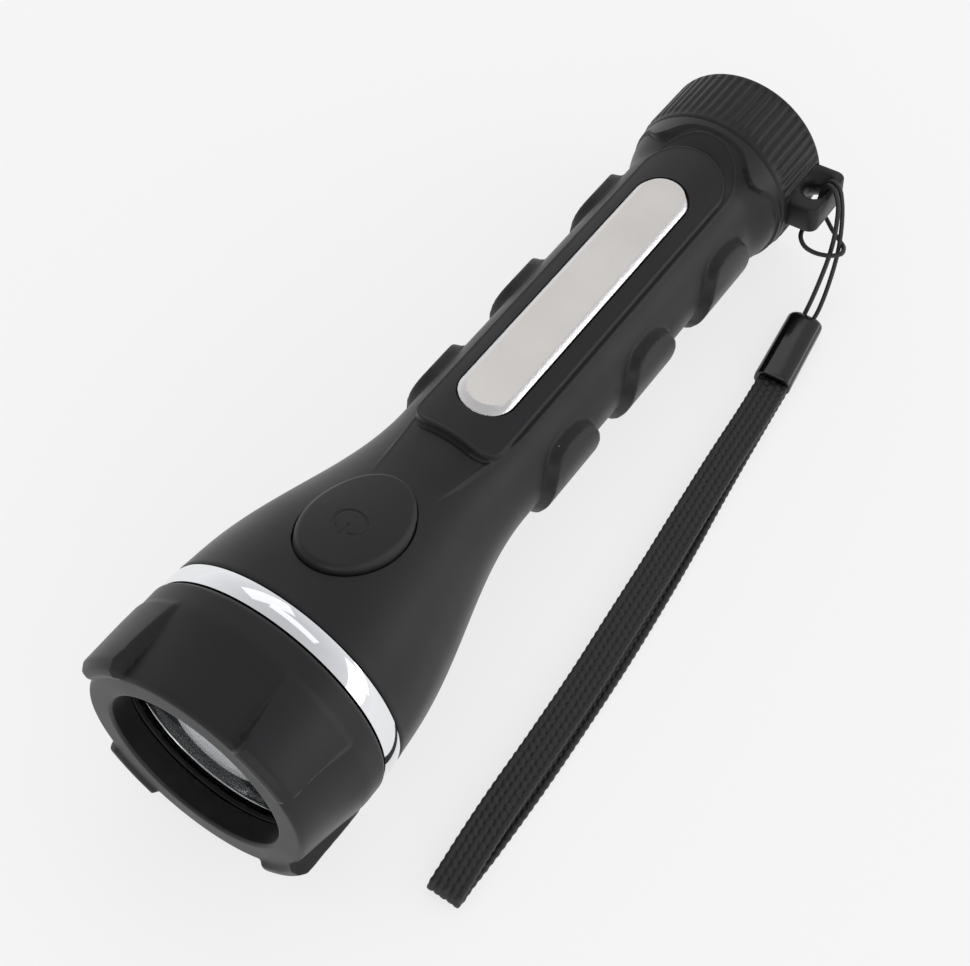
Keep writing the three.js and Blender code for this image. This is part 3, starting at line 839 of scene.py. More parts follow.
@dataclass
class Studio:
    """Camera, pale floor and soft light."""

    camera_at: tuple[float, float, float] = (167.84, 96.37, 301.51)
    camera_to: tuple[float, float, float] = (13.46, 4.42, 20.0)
    camera_roll: float = 4.72
    lens: float = 63.93
    sensor: float = 36.0
    floor_half: float = 1.6
    floor_drop: float = 0.05
    floor_colour: str = "#f3f3f4"
    background_share: float = 0.74
    zenith: float = 0.6
    horizon: float = 0.95

    def build(self) -> None:
        """Makes the camera first, then the floor, the world and the lamps."""
        self.add_camera()
        self.add_floor()
        self.add_world()
        self.add_lamp("overhead_softbox", (-0.6, -0.5, 0.95), (0.9, 0.5), 0.45)
        self.add_lamp("front_softbox", (1.0, 0.7, 0.45), (0.8, 0.5), 1.4)
        self.add_lamp("right_softbox", (-0.3, 1.1, 0.42), (1.4, 0.45), 0.9)
        self.add_lamp("low_right_strip", (-0.8, 1.0, 0.2), (0.8, 0.16), 2.0)
        self.add_lamp("zenith_strip", (-0.4, 0.05, 1.2), (1.0, 0.3), 0.5)

    def add_camera(self) -> None:
        """Stands the camera where the photograph was taken from."""
        data = bpy.data.cameras.new("camera")
        data.lens = self.lens
        data.sensor_width = self.sensor
        camera = bpy.data.objects.new("camera", data)
        position = Vector(self.camera_at) * MM
        gaze = (Vector(self.camera_to) * MM - position).to_track_quat("-Z", "Y")
        camera.rotation_mode = "QUATERNION"
        camera.rotation_quaternion = gaze @ Quaternion((0, 0, 1), math.radians(self.camera_roll))
        camera.location = position
        bpy.context.scene.collection.objects.link(camera)
        bpy.context.scene.camera = camera

    def add_floor(self) -> None:
        """Lays the plain floor that the torch and the strap rest on."""
        half = self.floor_half / MM
        plan = np.array([(-half, -half), (half, -half), (half, half), (-half, half)])
        floor = new_mesh("floor", at_height(plan, -self.floor_drop), [[0, 1, 2, 3]])
        material = bpy.data.materials.new("matt_white_paper")
        material.use_nodes = True
        tree = material.node_tree
        shader = tree.nodes["Principled BSDF"]
        shader.inputs["Base Color"].default_value = linear(self.floor_colour)
        shader.inputs["Roughness"].default_value = 0.9
        shader.inputs["Specular IOR Level"].default_value = 0.1
        path = add_node(tree, "ShaderNodeLightPath")
        glossy = {0: path.outputs["Is Camera Ray"], 1: path.outputs["Is Glossy Ray"]}
        seen = add_node(tree, "ShaderNodeMath", {"operation": "MAXIMUM"}, glossy)
        clear = {0: seen.outputs["Value"], 1: path.outputs["Is Transmission Ray"]}
        seen = add_node(tree, "ShaderNodeMath", {"operation": "MAXIMUM"}, clear)
        share = {"operation": "MULTIPLY", 1: self.background_share}
        amount = add_node(tree, "ShaderNodeMath", share, {0: seen.outputs["Value"]})
        glow = add_node(tree, "ShaderNodeEmission", {"Color": linear("#fdfdfd"), "Strength": 1.0})
        sources = {0: amount.outputs["Value"], 1: shader.outputs["BSDF"], 2: glow.outputs["Emission"]}
        mixed = add_node(tree, "ShaderNodeMixShader", {}, sources)
        tree.links.new(mixed.outputs["Shader"], tree.nodes["Material Output"].inputs["Surface"])
        floor.data.materials.append(material)

    def add_world(self) -> None:
        """Surrounds the scene with a pale room that darkens a little overhead."""
        world = bpy.data.worlds.new("pale_room")
        bpy.context.scene.world = world
        world.use_nodes = True
        tree = world.node_tree
        place = add_node(tree, "ShaderNodeTexCoord")
        parts = add_node(tree, "ShaderNodeSeparateXYZ", {}, {"Vector": place.outputs["Generated"]})
        limits = {"From Min": 0.0, "From Max": 1.0, "To Min": self.horizon, "To Max": self.zenith}
        height = add_node(tree, "ShaderNodeMapRange", limits, {"Value": parts.outputs["Z"]})
        background = tree.nodes["Background"]
        background.inputs["Color"].default_value = linear("#fdfdff")
        tree.links.new(height.outputs["Result"], background.inputs["Strength"])

    def add_lamp(self, name: str, at: tuple[float, float, float], sizes: tuple[float, float], glow: float) -> None:
        """Hangs a softbox that points at the torch.

        Args:
            name: the lamp's name.
            at: its place, in metres.
            sizes: its width and height, in metres.
            glow: how bright its face is, where 1 is white.
        """
        data = bpy.data.lights.new(name, "AREA")
        data.shape = "RECTANGLE"
        data.size, data.size_y = sizes
        data.energy = glow * math.pi * sizes[0] * sizes[1]
        lamp = bpy.data.objects.new(name, data)
        lamp.location = at
        lamp.rotation_mode = "QUATERNION"
        lamp.rotation_quaternion = (-Vector(at)).to_track_quat("-Z", "Y")
        bpy.context.scene.collection.objects.link(lamp)


@dataclass
class Lanyard:
    """Thin braided cord, gloss ferrule and flat braided strap, as they lie beside the torch."""

    cord_radius: float = 0.5
    cord_sides: int = 16
    cord_spacing: float = 0.16
    plait_length: float = 1.3
    plait_relief: float = 0.07
    strap_width: float = 7.0
    strap_thickness: float = 1.1
    strap_edge: float = 0.25
    strap_spacing: float = 0.28
    stitch_pitch: float = 1.8
    stitch_columns: int = 5
    stitch_height: float = 0.26
    stitch_sink: float = 0.16
    stitch_share: float = 0.54
    stitch_slant: float = 0.22
    ferrule_length: float = 20.0
    ferrule_width: float = 8.0
    ferrule_height: float = 5.4
    ferrule_shoulder: float = 1.6
    ferrule_flare: float = 0.04
    ferrule_crown: float = 0.2
    ferrule_turn: float = 6.6
    ferrule_at: tuple[float, float, float] = (-73.4, 31.8, 2.8)

    cord_route = (
        (-74.7, 30.6, 2.9), (-76.9, 30.5, 5.6), (-79.6, 30.2, 9.4), (-82.4, 29.7, 13.4), (-84.5, 29, 17.2),
        (-86.2, 28, 20.8), (-87.3, 26.9, 24.2), (-87.9, 25.3, 26.9), (-88.4, 23.5, 27.5), (-88.5, 22.3, 26),
        (-88.5, 22.1, 22.8), (-88.3, 22, 19.8), (-87, 21.9, 17.8), (-84.4, 21.8, 17), (-82, 22.4, 16.2),
        (-80.9, 24.2, 15.3), (-80.9, 26.9, 15), (-81.7, 30.3, 15.7), (-83.3, 31.9, 16), (-85.6, 31.3, 15.5),
        (-87.4, 29.4, 14.9), (-88.4, 27, 15.6), (-89.5, 24.6, 16.7), (-89.9, 22.7, 17.8), (-89.8, 22, 19.8),
        (-89.9, 22.1, 22.8), (-89.9, 22.3, 26), (-89.9, 23.6, 27.5), (-89.5, 25.4, 26.9), (-88.9, 27, 24.2),
        (-87.9, 28.4, 20.8), (-86.3, 29.7, 17.4), (-84.4, 30.8, 14), (-81.2, 31.9, 9.4), (-78.1, 32.6, 5.4),
        (-75.9, 32.8, 2.9),
    )
    # The cord's two ends inside the ferrule, which its solid lacks.
    cord_tuck_in = ((-71.2, 31.0, 2.7), (-73.1, 30.8, 2.35))
    cord_tuck_out = ((-74.3, 32.75, 2.35), (-72.4, 32.6, 2.7))
    strap_route = (
        (-54, 34.3, 3.1), (-44, 35.1, 3), (-30, 35.9, 2.95), (-15, 37, 2.95), (0, 38.2, 2.95), (15, 39.2, 2.95),
        (30, 40.2, 2.95), (45, 40.8, 2.95), (60, 41.2, 3), (69, 41.7, 3.2), (75.4, 42.2, 3.4), (78.8, 42.4, 3.1),
        (79.8, 42.4, 2.1), (78.8, 42.4, 1.1), (75.4, 42.3, 0.8), (68, 42.5, 0.8), (52, 42.5, 0.8), (38, 42.1, 0.8),
        (22, 41.4, 0.8), (7, 40.3, 0.8), (-8, 38.9, 0.8), (-22, 37.3, 0.8), (-37, 35.8, 0.8), (-47, 34.9, 0.85),
        (-54, 34.3, 1),
    )

    def build(self) -> None:
        """Makes the cord, the strap and the ferrule."""
        ferrule = self.make_ferrule()
        self.make_cord()
        self.make_strap()

    def make_cord(self) -> None:
        """Braids the thin cord from the ferrule round the lug and back."""
        line = smooth_route((*self.cord_tuck_in, *self.cord_route, *self.cord_tuck_out), self.cord_spacing)
        along = np.arange(len(line))[:, None] * self.cord_spacing
        turn = 4 * turns(self.cord_sides)[None]
        twist = 2 * math.pi * along / self.plait_length
        radius = self.cord_radius * (1 + self.plait_relief * (np.cos(turn + twist) * np.cos(turn - twist)))
        cord = dress(swept("lanyard_braid", line, radius, self.cord_sides), NYLON, Crease.MOULDED)
        fit(cord, Body.CAP, "lanyard_cord")

    def strap_section(self, along: np.ndarray, across: np.ndarray) -> np.ndarray:
        """The height of the braid's stitches over the flat of the strap.

        Args:
            along: distance along the strap, in mm.
            across: distance from its middle, in mm.

        Returns:
            The height, in mm.
        """
        pitch = self.strap_width / self.stitch_columns
        column = np.clip(np.round(across / pitch), -2, 2)
        beside = across - column * pitch
        slant = self.stitch_slant * beside * np.where(column % 2 == 0, 1, -1)
        phase = along / self.stitch_pitch + 0.5 * (column % 2) + slant
        ahead = (phase - np.round(phase)) * self.stitch_pitch
        share = self.stitch_share
        distance = (beside / (share * pitch)) ** 2 + (ahead / (share * self.stitch_pitch)) ** 2
        return self.stitch_height * np.sqrt(np.clip(1 - distance, 0, 1))

    def make_strap(self) -> None:
        """Braids the flat strap along its upper layer, round the fold and back.
        """
        line = smooth_route(self.strap_route, self.strap_spacing)
        tangent = line[1] - line[0]
        widths, heights = carried_frame(line, (-tangent[1], tangent[0], 0))
        flat = 0.5 * self.strap_thickness - self.stitch_sink
        half = 0.5 * self.strap_width - self.strap_edge
        top = np.linspace(-half, half, 27)
        rim = np.radians(np.array([60, 30, 0, -30, -60]))
        bulge = self.strap_edge * np.cos(rim)
        across = np.concatenate([top, half + bulge, top[::-1], -half - bulge])
        side = np.concatenate([np.ones(len(top)), np.sin(rim), -np.ones(len(top)), -np.sin(rim)])
        along = np.arange(len(line))[:, None] * self.strap_spacing
        stitches = self.strap_section(along, across[None]) * np.abs(side)[None] ** 2
        scallop = 1 + 0.02 * np.cos(2 * math.pi * along / self.stitch_pitch)
        height = side[None] * (flat + stitches)
        sideways = widths[:, None] * (across[None] * scallop)[..., None]
        grid = line[:, None] + sideways + heights[:, None] * height[..., None]
        strap = dress(skin("wrist_braid", grid, closed_rows=False), NYLON, Crease.MOULDED)
        fit(strap, Body.CAP, "wrist_strap")

    def make_ferrule(self) -> bpy.types.Object:
        """Moulds the ferrule: round shouldered at the cord, open and flared at the strap.

        Returns:
            The ferrule.
        """
        end, shoulder = self.ferrule_length, self.ferrule_shoulder
        arc = np.radians(np.linspace(0, 90, 7))
        stations = [(shoulder * (1 - math.cos(a)), shoulder * (1 - math.sin(a))) for a in arc]
        stations += [(x, 0.0) for x in np.linspace(2.2, end - 0.4, 16)]
        stations += [(end - 0.1, 0.08), (end, 0.3), (end, 0.8), (end - 0.2, 1.0), (end - 3.0, 1.0)]
        rows = []
        for x, inset in stations:
            width, height = self.ferrule_width - 2 * inset, self.ferrule_height - 2 * inset
            section = rounded_plan(0, 0, width, height, min(1.9, 0.49 * height), 10)
            section[:, 1] *= 1 - self.ferrule_crown * (2 * section[:, 0] / width) ** 2
            across = section[:, 0] * (1 + self.ferrule_flare * x / end)
            x_turned, y_turned = rotated(np.full(len(section), x), across, self.ferrule_turn)
            rows.append(np.stack([x_turned, y_turned, section[:, 1]], axis=1))
        placed = np.array(rows) + np.array(self.ferrule_at)
        ferrule = dress(skin("strap_ferrule", placed, closed_rows=False), GLOSS_ABS, Crease.STAMPED)
        return fit(ferrule, Body.CAP, "cord_ferrule")


@dataclass
class Head:
    """Lugged bezel with its window, reflector and light source."""

    frame: TorchFrame
    columns: int = 480
    lug_start: float = 40.0
    lug_half_front: float = 13.5
    lug_half_rear: float = 18.0
    lug_length: float = 15.0
    lug_edge: tuple[float, float] = (0.93, 1.12)

    # The x and the radius of each ring in a valley, and then on a lug.
    rings = (
        (0, 18.6, 0, 18.6), (0, 22.8, 0, 22.8), (-0.6, 23.4, 0.75, 23.9), (-1.4, 23.6, 0.45, 25.4),
        (-2.8, 23.8, -1, 26.4), (-6, 24.3, -6, 26.4), (-10.5, 25.1, -10.5, 26.4), (-14.4, 25.9, -14.4, 26.3),
        (-15.5, 26, -15.5, 26), (-19.3, 26, -19.3, 26), (-20, 25.4, -20, 25.4),
    )
    bores = (
        (-20, 24.5), (-16.4, 24.5), (-16.4, 22.9), (-10.1, 22.9), (-10.1, 21.4), (-5, 21.4), (-5, 18.3),
        (-0.4, 18.1),
    )

    def build(self) -> None:
        """Makes the head's pieces from the rim inwards."""
        self.make_bezel()
        self.make_window()
        self.make_reflector()
        self.make_emitter()

    def make_bezel(self) -> None:
        """Moulds the bezel as rings that rise from the valleys to the lugs."""
        rows = [list(r) for r in self.rings] + [[x, r, x, r] for x, r in self.bores]
        profile = refined(softened(rows, 0.55, 4), 0.9)
        angles = turns(self.columns, 360)
        offset = np.abs((angles - self.lug_start + 45) % 90 - 45)
        share = np.clip(-profile[:, :1] / self.lug_length, 0, 1)
        half = blend(self.lug_half_front, self.lug_half_rear, share)
        mask = 1 - smoothstep(offset[None] / half, *self.lug_edge)
        x = blend(profile[:, 0:1], profile[:, 2:3], mask)
        radius = blend(profile[:, 1:2], profile[:, 3:4], mask)
        bezel = skin("lugged_bezel", self.frame.lay(around(x, radius, angles[None])))
        fit(dress(bezel, RUBBER, Crease.MOULDED), Body.BEZEL, "bezel")

    def make_window(self) -> None:
        """Turns the clear window and the gasket in front of it."""
        edge = softened([(-6.7, 0), (-6.7, 21), (-8.6, 21), (-8.6, 0)], 0.25, 3, closed=False)
        window = turned("clear_window", self.frame, edge, 128)
        fit(dress(window, CLEAR, Crease.STAMPED), Body.WINDOW, "lens")
        section = softened([(-5.3, 18.6), (-5.3, 21), (-6.4, 21), (-6.4, 18.6)], 0.35, 4)
        gasket = turned("window_gasket", self.frame, section, 128)
        fit(dress(gasket, SILICONE, Crease.MOULDED), Body.WINDOW, "lens_gasket")

    def make_reflector(self) -> None:
        """Turns the parabolic reflector with its flange and hub."""
        focus, vertex = 4.2, -28.27
        inside = [(x, math.sqrt(4 * focus * (x - vertex))) for x in np.linspace(-27.6, -9.2, 48)]
        outside = [(x, math.sqrt(4 * focus * (x - vertex)) + 1) for x in np.linspace(-10.4, -26.4, 24)]
        flange = softened([(-8.9, 18.2), (-8.9, 21), (-10.1, 21), (-10.1, 19.6)], 0.2, 2, closed=False).tolist()
        hub = [(-26.8, 4.6), (-29.1, 4.6), (-29.1, 2.9)]
        reflector = turned("parabolic_reflector", self.frame, [*inside, *flange, *outside, *hub], 160)
        fit(dress(reflector, MIRROR, Crease.STAMPED), Body.TORCH, "reflector")

    def make_emitter(self) -> None:
        """Turns the emitter, a short cylinder under a dome."""
        dome = [(-25.4 + 2.5 * math.sin(a), 2.5 * math.cos(a)) for a in np.radians(np.linspace(0, 90, 16))]
        emitter = turned("light_emitter", self.frame, [(-29.3, 0), (-29.3, 2.5), *dome[:-1], (-22.9, 0)], 48)
        fit(dress(emitter, PHOSPHOR, Crease.STAMPED), Body.TORCH, "led_emitter")


@dataclass
class Switch:
    """Oval button over its plunger and snap dome."""

    frame: TorchFrame
    proud: float = 1.6
    depth: float = 0.7
    lip: float = 1.15
    columns: int = 200
    mark_radius: float = 2.9
    mark_ahead: float = 2.2
    mark_line: float = 0.24
    mark_depth: float = 0.2
    mark_opening: float = 1.1
    mark_bar: tuple[float, float] = (0.7, 3.6)
    dome_radius: float = 2.9
    dome_rise: float = 0.35

    def build(self) -> None:
        """Makes the button and what it presses."""
        self.make_button()
        self.make_plunger()

    def neck_height(self, u: np.ndarray, v: np.ndarray, grow: float) -> np.ndarray:
        """Finds how high the neck's surface is over the button's own plane.

        Args:
            u: place along the button, in mm.
            v: place across it, in mm.
            grow: how far outside the neck the surface is, in mm.

        Returns:
            The height along the button's axis, in mm.
        """
        low, high = np.full(u.shape, -12.0), np.full(u.shape, 8.0)
        for _ in range(40):
            middle = (low + high) / 2
            points = button_frame(np.stack([u, v, middle], axis=-1))
            outside = np.hypot(points[..., 1], points[..., 2]) > neck_radius(points[..., 0]) + grow
            high = np.where(outside, middle, high)
            low = np.where(outside, low, middle)
        return (low + high) / 2

    def mark(self, u: np.ndarray, v: np.ndarray) -> np.ndarray:
        """The depth share of a plain power mark: a ring open at the front and a bar through the opening."""
        ahead = u - self.mark_ahead
        ring = np.abs(np.hypot(ahead, v) - self.mark_radius)
        opening = (ahead > 0) & (np.abs(v) < self.mark_opening)
        start, end = self.mark_bar
        bar = np.hypot(v, np.maximum(np.maximum(start - ahead, ahead - end), 0))
        distance = np.minimum(np.where(opening, np.inf, ring), bar)
        return 1 - smoothstep(distance, self.mark_line * 0.6, self.mark_line * 1.5)

    def make_button(self) -> None:
        """Moulds the button as a pad that follows the neck, with a rounded lip and a sunk mark."""
        spans = ((0.008, 0.66, 70), (0.68, 0.86, 9), (0.875, 1.0, 16))
        shares = np.concatenate([np.linspace(*span) for span in spans])[:, None]
        turn = turns(self.columns)[None]
        u = BUTTON_HALF_LENGTH * shares * np.cos(turn)
        v = BUTTON_HALF_WIDTH * shares * np.sin(turn)
        inset = (1 - shares) * blend(BUTTON_HALF_WIDTH, BUTTON_HALF_LENGTH, np.cos(turn) ** 2)
        drop = self.lip - np.sqrt(np.clip(self.lip**2 - np.clip(self.lip - inset, 0, None) ** 2, 0, None))
        top = self.neck_height(u, v, self.proud) - drop - self.mark_depth * self.mark(u, v)
        rim_u, rim_v, rim_top = u[-1:], v[-1:], top[-1:]
        fall = self.neck_height(rim_u, rim_v, -self.depth) - rim_top
        wall = rim_top + fall * np.linspace(0.25, 0.75, 3)[:, None]
        low_u, low_v = u[::-6], v[::-6]
        floor = self.neck_height(low_u, low_v, -self.depth)
        all_u = np.vstack([u, np.repeat(rim_u, 3, axis=0), low_u])
        all_v = np.vstack([v, np.repeat(rim_v, 3, axis=0), low_v])
        heights = np.vstack([top, wall, floor])
        grid = self.frame.lay(button_frame(np.stack([all_u, all_v, heights], axis=-1)))
        zero = np.zeros(1)
        first, last = (
            self.frame.lay(button_frame(np.stack([zero, zero, self.neck_height(zero, zero, grow)], axis=-1)))[0]
            for grow in (self.proud, -self.depth)
        )
        button = domed("oval_button", first, grid, last)
        fit(dress(button, RUBBER, Crease.MOULDED), Body.BUTTON, "button")

    def pin(self, name: str, outline: np.ndarray) -> bpy.types.Object:
        """Turns an outline of height and radius round the button's axis.

        Args:
            name: the object's name.
            outline: height and radius, from the axis back to the axis.

        Returns:
            The object.
        """
        turn = turns(48)[None]
        inner = outline[1:-1]
        u, v = inner[:, 1:] * np.cos(turn), inner[:, 1:] * np.sin(turn)
        grid = button_frame(np.stack([u, v, np.broadcast_to(inner[:, :1], u.shape)], axis=-1))
        ends = button_frame(np.array([[0, 0, outline[0, 0]], [0, 0, outline[-1, 0]]], float))
        ends = self.frame.lay(ends)
        return domed(name, ends[0], self.frame.lay(grid), ends[1])

    def make_plunger(self) -> None:
        """Turns the plunger and the snap dome under it."""
        stem = softened([(-1.2, 0), (-1.2, 3), (-8.6, 3), (-8.6, 0)], 0.4, 3, closed=False)
        plunger = dress(self.pin("switch_stem", stem), WHITE_ACETAL, Crease.STAMPED)
        fit(plunger, Body.PLUNGER, "switch_plunger")
        rim, rise = self.dome_radius, self.dome_rise
        outline = []
        for top, radii in ((-10.3, (0, rim)), (-10.45, (rim, 0))):
            outline += [(top - rise * (r / rim) ** 2, r) for r in np.linspace(*radii, 9)]
        dome = dress(self.pin("snap_dome", np.array(outline)), SPRING_STEEL, Crease.STAMPED)
        fit(dome, Body.TORCH, "switch_dome")


@dataclass(frozen=True)
class Thread:
    """A screw thread on the barrel, between two places along the axis."""

    front: float
    rear: float
    crest: float
    pitch: float
    hand: int
    groove: float = 0.7

    def depth(self, x: np.ndarray, radius: np.ndarray, angle: np.ndarray) -> np.ndarray:
        """How deep the groove is at points of the barrel, where they lie on the crest.

        Args:
            x: place along the axis.
            radius: distance from the axis.
            angle: angle in degrees.

        Returns:
            The depth, in mm.
        """
        inside = (x < self.front) & (x > self.rear) & (radius == self.crest)
        phase = np.abs(((x / self.pitch + self.hand * angle / 360) % 1) - 0.5) * 2
        return np.where(inside, self.groove * smoothstep(phase, 0.25, 0.75), 0)


HEAD_THREAD = Thread(-10.9, -16.3, 22.6, 2.5, -1)
TAIL_THREAD = Thread(-177.3, -184.0, 15.6, 3.0, 1)


@dataclass
class Handle:
    """Rubber grip over the barrel, with the plate, the chromed ring and the cells."""

    frame: TorchFrame
    island_rear: float = -165.2
    island_front: float = -73.5
    island_half: float = 8.4
    island_radius: float = 17.8
    ledge_rear: float = -170.4
    ledge_front: float = -46.0
    ledge_half: float = 9.8
    ledge_height: float = 0.7
    lump_centres: tuple[float, float, float] = (-92.6, -121.5, -152.1)
    lump_front: float = 8.9
    lump_rear: float = 11.1
    lump_height: float = 2.1
    lump_angle: float = 105.0
    lump_half_angle: float = 48.0
    lump_squareness: float = 2.8
    lump_edge: tuple[float, float] = (0.82, 0.93)
    hole_clearance: float = 0.45
    plate_length: float = 73.4
    plate_width: float = 11.7
    plate_centre: float = -117.2
    plate_top: float = 17.9
    cell_length: float = 50.0

    def build(self) -> None:
        """Makes the handle's pieces from the outside inwards."""
        self.make_grip()
        self.make_plate()
        self.make_ring()
        self.make_barrel()
        self.make_seals()
        self.make_cells()

    def plan_distance(self, x: Any, y: Any, rear: float, front: float, half: Any) -> Any:
        """Distance outside a long rounded outline of the plan view, negative inside.

        Args:
            x: place along the torch.
            y: place across it.
            rear: the outline's rear end.
            front: its front end.
            half: half of its width.

        Returns:
            The distance, in mm.
        """
        middle = (rear + front) / 2
        corner = np.where(x > middle, 4.0, half)
        dx = np.abs(x - middle) - (front - rear) / 2 + corner
        dy = np.abs(y) - half + corner
        return np.hypot(np.maximum(dx, 0), np.maximum(dy, 0)) + np.minimum(np.maximum(dx, dy), 0) - corner

    def lumps(self, x: Any, angle: Any) -> Any:
        """Height of the finger lumps over the tube."""
        power = self.lump_squareness
        v = np.abs(np.abs(angle) - self.lump_angle) / self.lump_half_angle
        heights = []
        for centre in self.lump_centres:
            u = np.abs(x - centre) / np.where(x > centre, self.lump_front, self.lump_rear)
            distance = (u**power + v**power) ** (1 / power)
            heights.append(self.lump_height * (1 - smoothstep(distance, *self.lump_edge)))
        return np.maximum.reduce(heights)

    def grip_radius(self, x: Any, angle: Any) -> Any:
        """Radius of the rubber's outside: tube, ledge, island, their fine lines, lumps and collar.

        Args:
            x: place along the torch.
            angle: angle from the top in degrees.

        Returns:
            The radius, in mm.
        """
        base = base_radius(x)
        side = np.where(np.abs(angle) < 80, base * np.sin(np.radians(angle)), 20.0)
        half = self.ledge_half - 2.2 * smoothstep(x, -86, -64) - 2.4 * smoothstep(x, -68, -48)
        ledge = self.plan_distance(x, side, self.ledge_rear, self.ledge_front, half)
        island = self.plan_distance(x, side, self.island_rear, self.island_front, self.island_half)
        fade = 1 - smoothstep(x, -76, -60)
        radius = base + self.ledge_height * fade * (1 - smoothstep(ledge, -0.3, 0.3))
        top = np.maximum(base, self.island_radius)
        radius = blend(radius, top, 1 - smoothstep(island, -0.35, 0.4))
        off_island = smoothstep(island, -0.1, 0.6)
        lines = 0.16 * bump(ledge + 0.5, 0.28) - 0.34 * bump(ledge - 0.3, 0.26)
        radius = radius + lines * (1 - smoothstep(x, -62, -56)) * off_island
        radius = radius + 0.14 * bump(island + 0.45, 0.3) - 0.2 * bump(island - 0.5, 0.3) * fade
        radius = np.maximum(radius, base + self.lumps(x, angle))
        reach = 4.3 * bump(np.abs(angle) - 40, 15)
        edge = -171.4 + reach - 0.9 * smoothstep(np.abs(angle), 60, 85)
        collar = blend(base, COLLAR_R, 1 - smoothstep(x - edge, -0.15, 0.25))
        radius = radius - 0.6 * bump(x - edge - 0.75, 0.42) * (radius < COLLAR_R + 0.1)
        return np.maximum(radius, collar)

    def make_grip(self) -> None:
        """Moulds the grip as a fine skin and cuts the plate's pocket and the button's hole."""
        lip = BODY_FRONT - np.array([0.0, 0.05, 0.2, 0.45, 0.8, 1.3])
        stretches = (
            (-26.8, -50.0, 0.8), (-50.0, -72.0, 0.5), (-72.0, -75.6, 0.18), (-75.6, -161.0, 0.4),
            (-161.0, -172.9, 0.2),
        )
        tube = [np.arange(start, end, -step) for start, end, step in stretches]
        stations = np.concatenate([lip, *tube, [-173.0, -173.2]])
        fine = np.arange(-50, 50, 0.8)
        angles = np.concatenate([fine, np.arange(50, 310, 2.0)])
        angles = (angles + 180) % 360 - 180
        outer = self.grip_radius(stations[:, None], angles[None])
        shrink = np.zeros(len(stations))
        shrink[:5] = [0.55, 0.32, 0.15, 0.05, 0.0]
        shrink[-1] = 0.12
        outer = outer - shrink[:, None]
        inner_stations = np.concatenate([[-173.2], np.linspace(-80, -27, 22), [BODY_FRONT]])
        inner = barrel_radius(inner_stations) + GAP
        x = np.concatenate([stations, inner_stations])
        radius = np.vstack([outer, np.repeat(inner[:, None], len(angles), axis=1)])
        grip = skin("rubber_sleeve", self.frame.lay(around(x[:, None], radius, angles[None])))
        pocket = self.stadium("pocket", GAP, [(0, 15.6), (0, 22.0)])
        carve(grip, [pocket, self.button_hole()], Cut.AWAY)
        fit(dress(grip, RUBBER, Crease.MOULDED), Body.TORCH, "rubber_grip")

    def button_hole(self) -> bpy.types.Object:
        """The tool that cuts the button's hole.

        Returns:
            The tool that carve takes.
        """
        turn = turns(160)
        half_length, half_width = (half + self.hole_clearance for half in (BUTTON_HALF_LENGTH, BUTTON_HALF_WIDTH))
        oval = np.stack([half_length * np.cos(turn), half_width * np.sin(turn)], axis=1)
        layers = np.array([at_height(oval, n) for n in (-7.0, 6.0)])
        return skin("hole", self.frame.lay(button_frame(layers)), closed_rows=False)

    def stadium(self, name: str, grow: float, layers: Sequence[tuple[float, float]]) -> bpy.types.Object:
        """Stacks outlines of the plate into a closed piece.

        Args:
            name: the object's name.
            grow: how much wider than the plate it is, on each side.
            layers: the inset and the height of each outline, from the bottom up.

        Returns:
            The object.
        """
        rows = []
        for inset, height in layers:
            width = self.plate_width + 2 * (grow - inset)
            length = self.plate_length + 2 * (grow - inset)
            middle = self.plate_centre - 0.75 * max(inset - 0.05, 0) * (height > 16.5)
            rows.append(at_height(rounded_plan(middle, 0, length, width, width / 2 - 0.01, 20), height))
        return skin(name, self.frame.lay(np.array(rows)), closed_rows=False)

    def make_plate(self) -> None:
        """Presses the inlaid plate, with a bevel round its flat face that is painted lighter as a highlight."""
        top = self.plate_top
        bevel = [(0.04, top - 0.98), (0.18, top - 0.78), (0.5, top - 0.46), (0.9, top - 0.17), (1.2, top)]
        layers = [(0.3, 15.75), (0.0, 16.0), (0.0, top - 1.15), *bevel]
        plate = dress(self.stadium("inlaid_plate", 0.0, layers), STEEL, Crease.CUT)
        # The bevel's faces take the lighter steel: a painted highlight where the bevel catches the light, over its
        # real pitted finish.
        plate.data.materials.append(STEEL_EDGE_PAINTED_HIGHLIGHT.material())
        for face in plate.data.polygons:
            flat = abs(face.normal.z) > 0.99
            face.material_index = 0 if flat else 1
        fit(plate, Body.TORCH, "inlay_plate")

    def make_ring(self) -> None:
        """Turns the chromed ring between the bezel and the grip."""
        arc = np.radians(np.linspace(-28, 28, 17))
        across = -22.4 - 2.1 * np.sin(arc) / math.sin(arc[-1])
        height = 25.82 - 0.34 * (1 - np.cos(arc)) / (1 - math.cos(arc[-1]))
        outline = [(-20.35, 22.9), (-20.3, 25.0), *zip(across, height), (-24.5, 25.0), (-24.45, 22.9)]
        ring = turned("chromed_ring", self.frame, outline, 240)
        fit(dress(ring, CHROME, Crease.STAMPED), Body.TORCH, "chrome_ring")

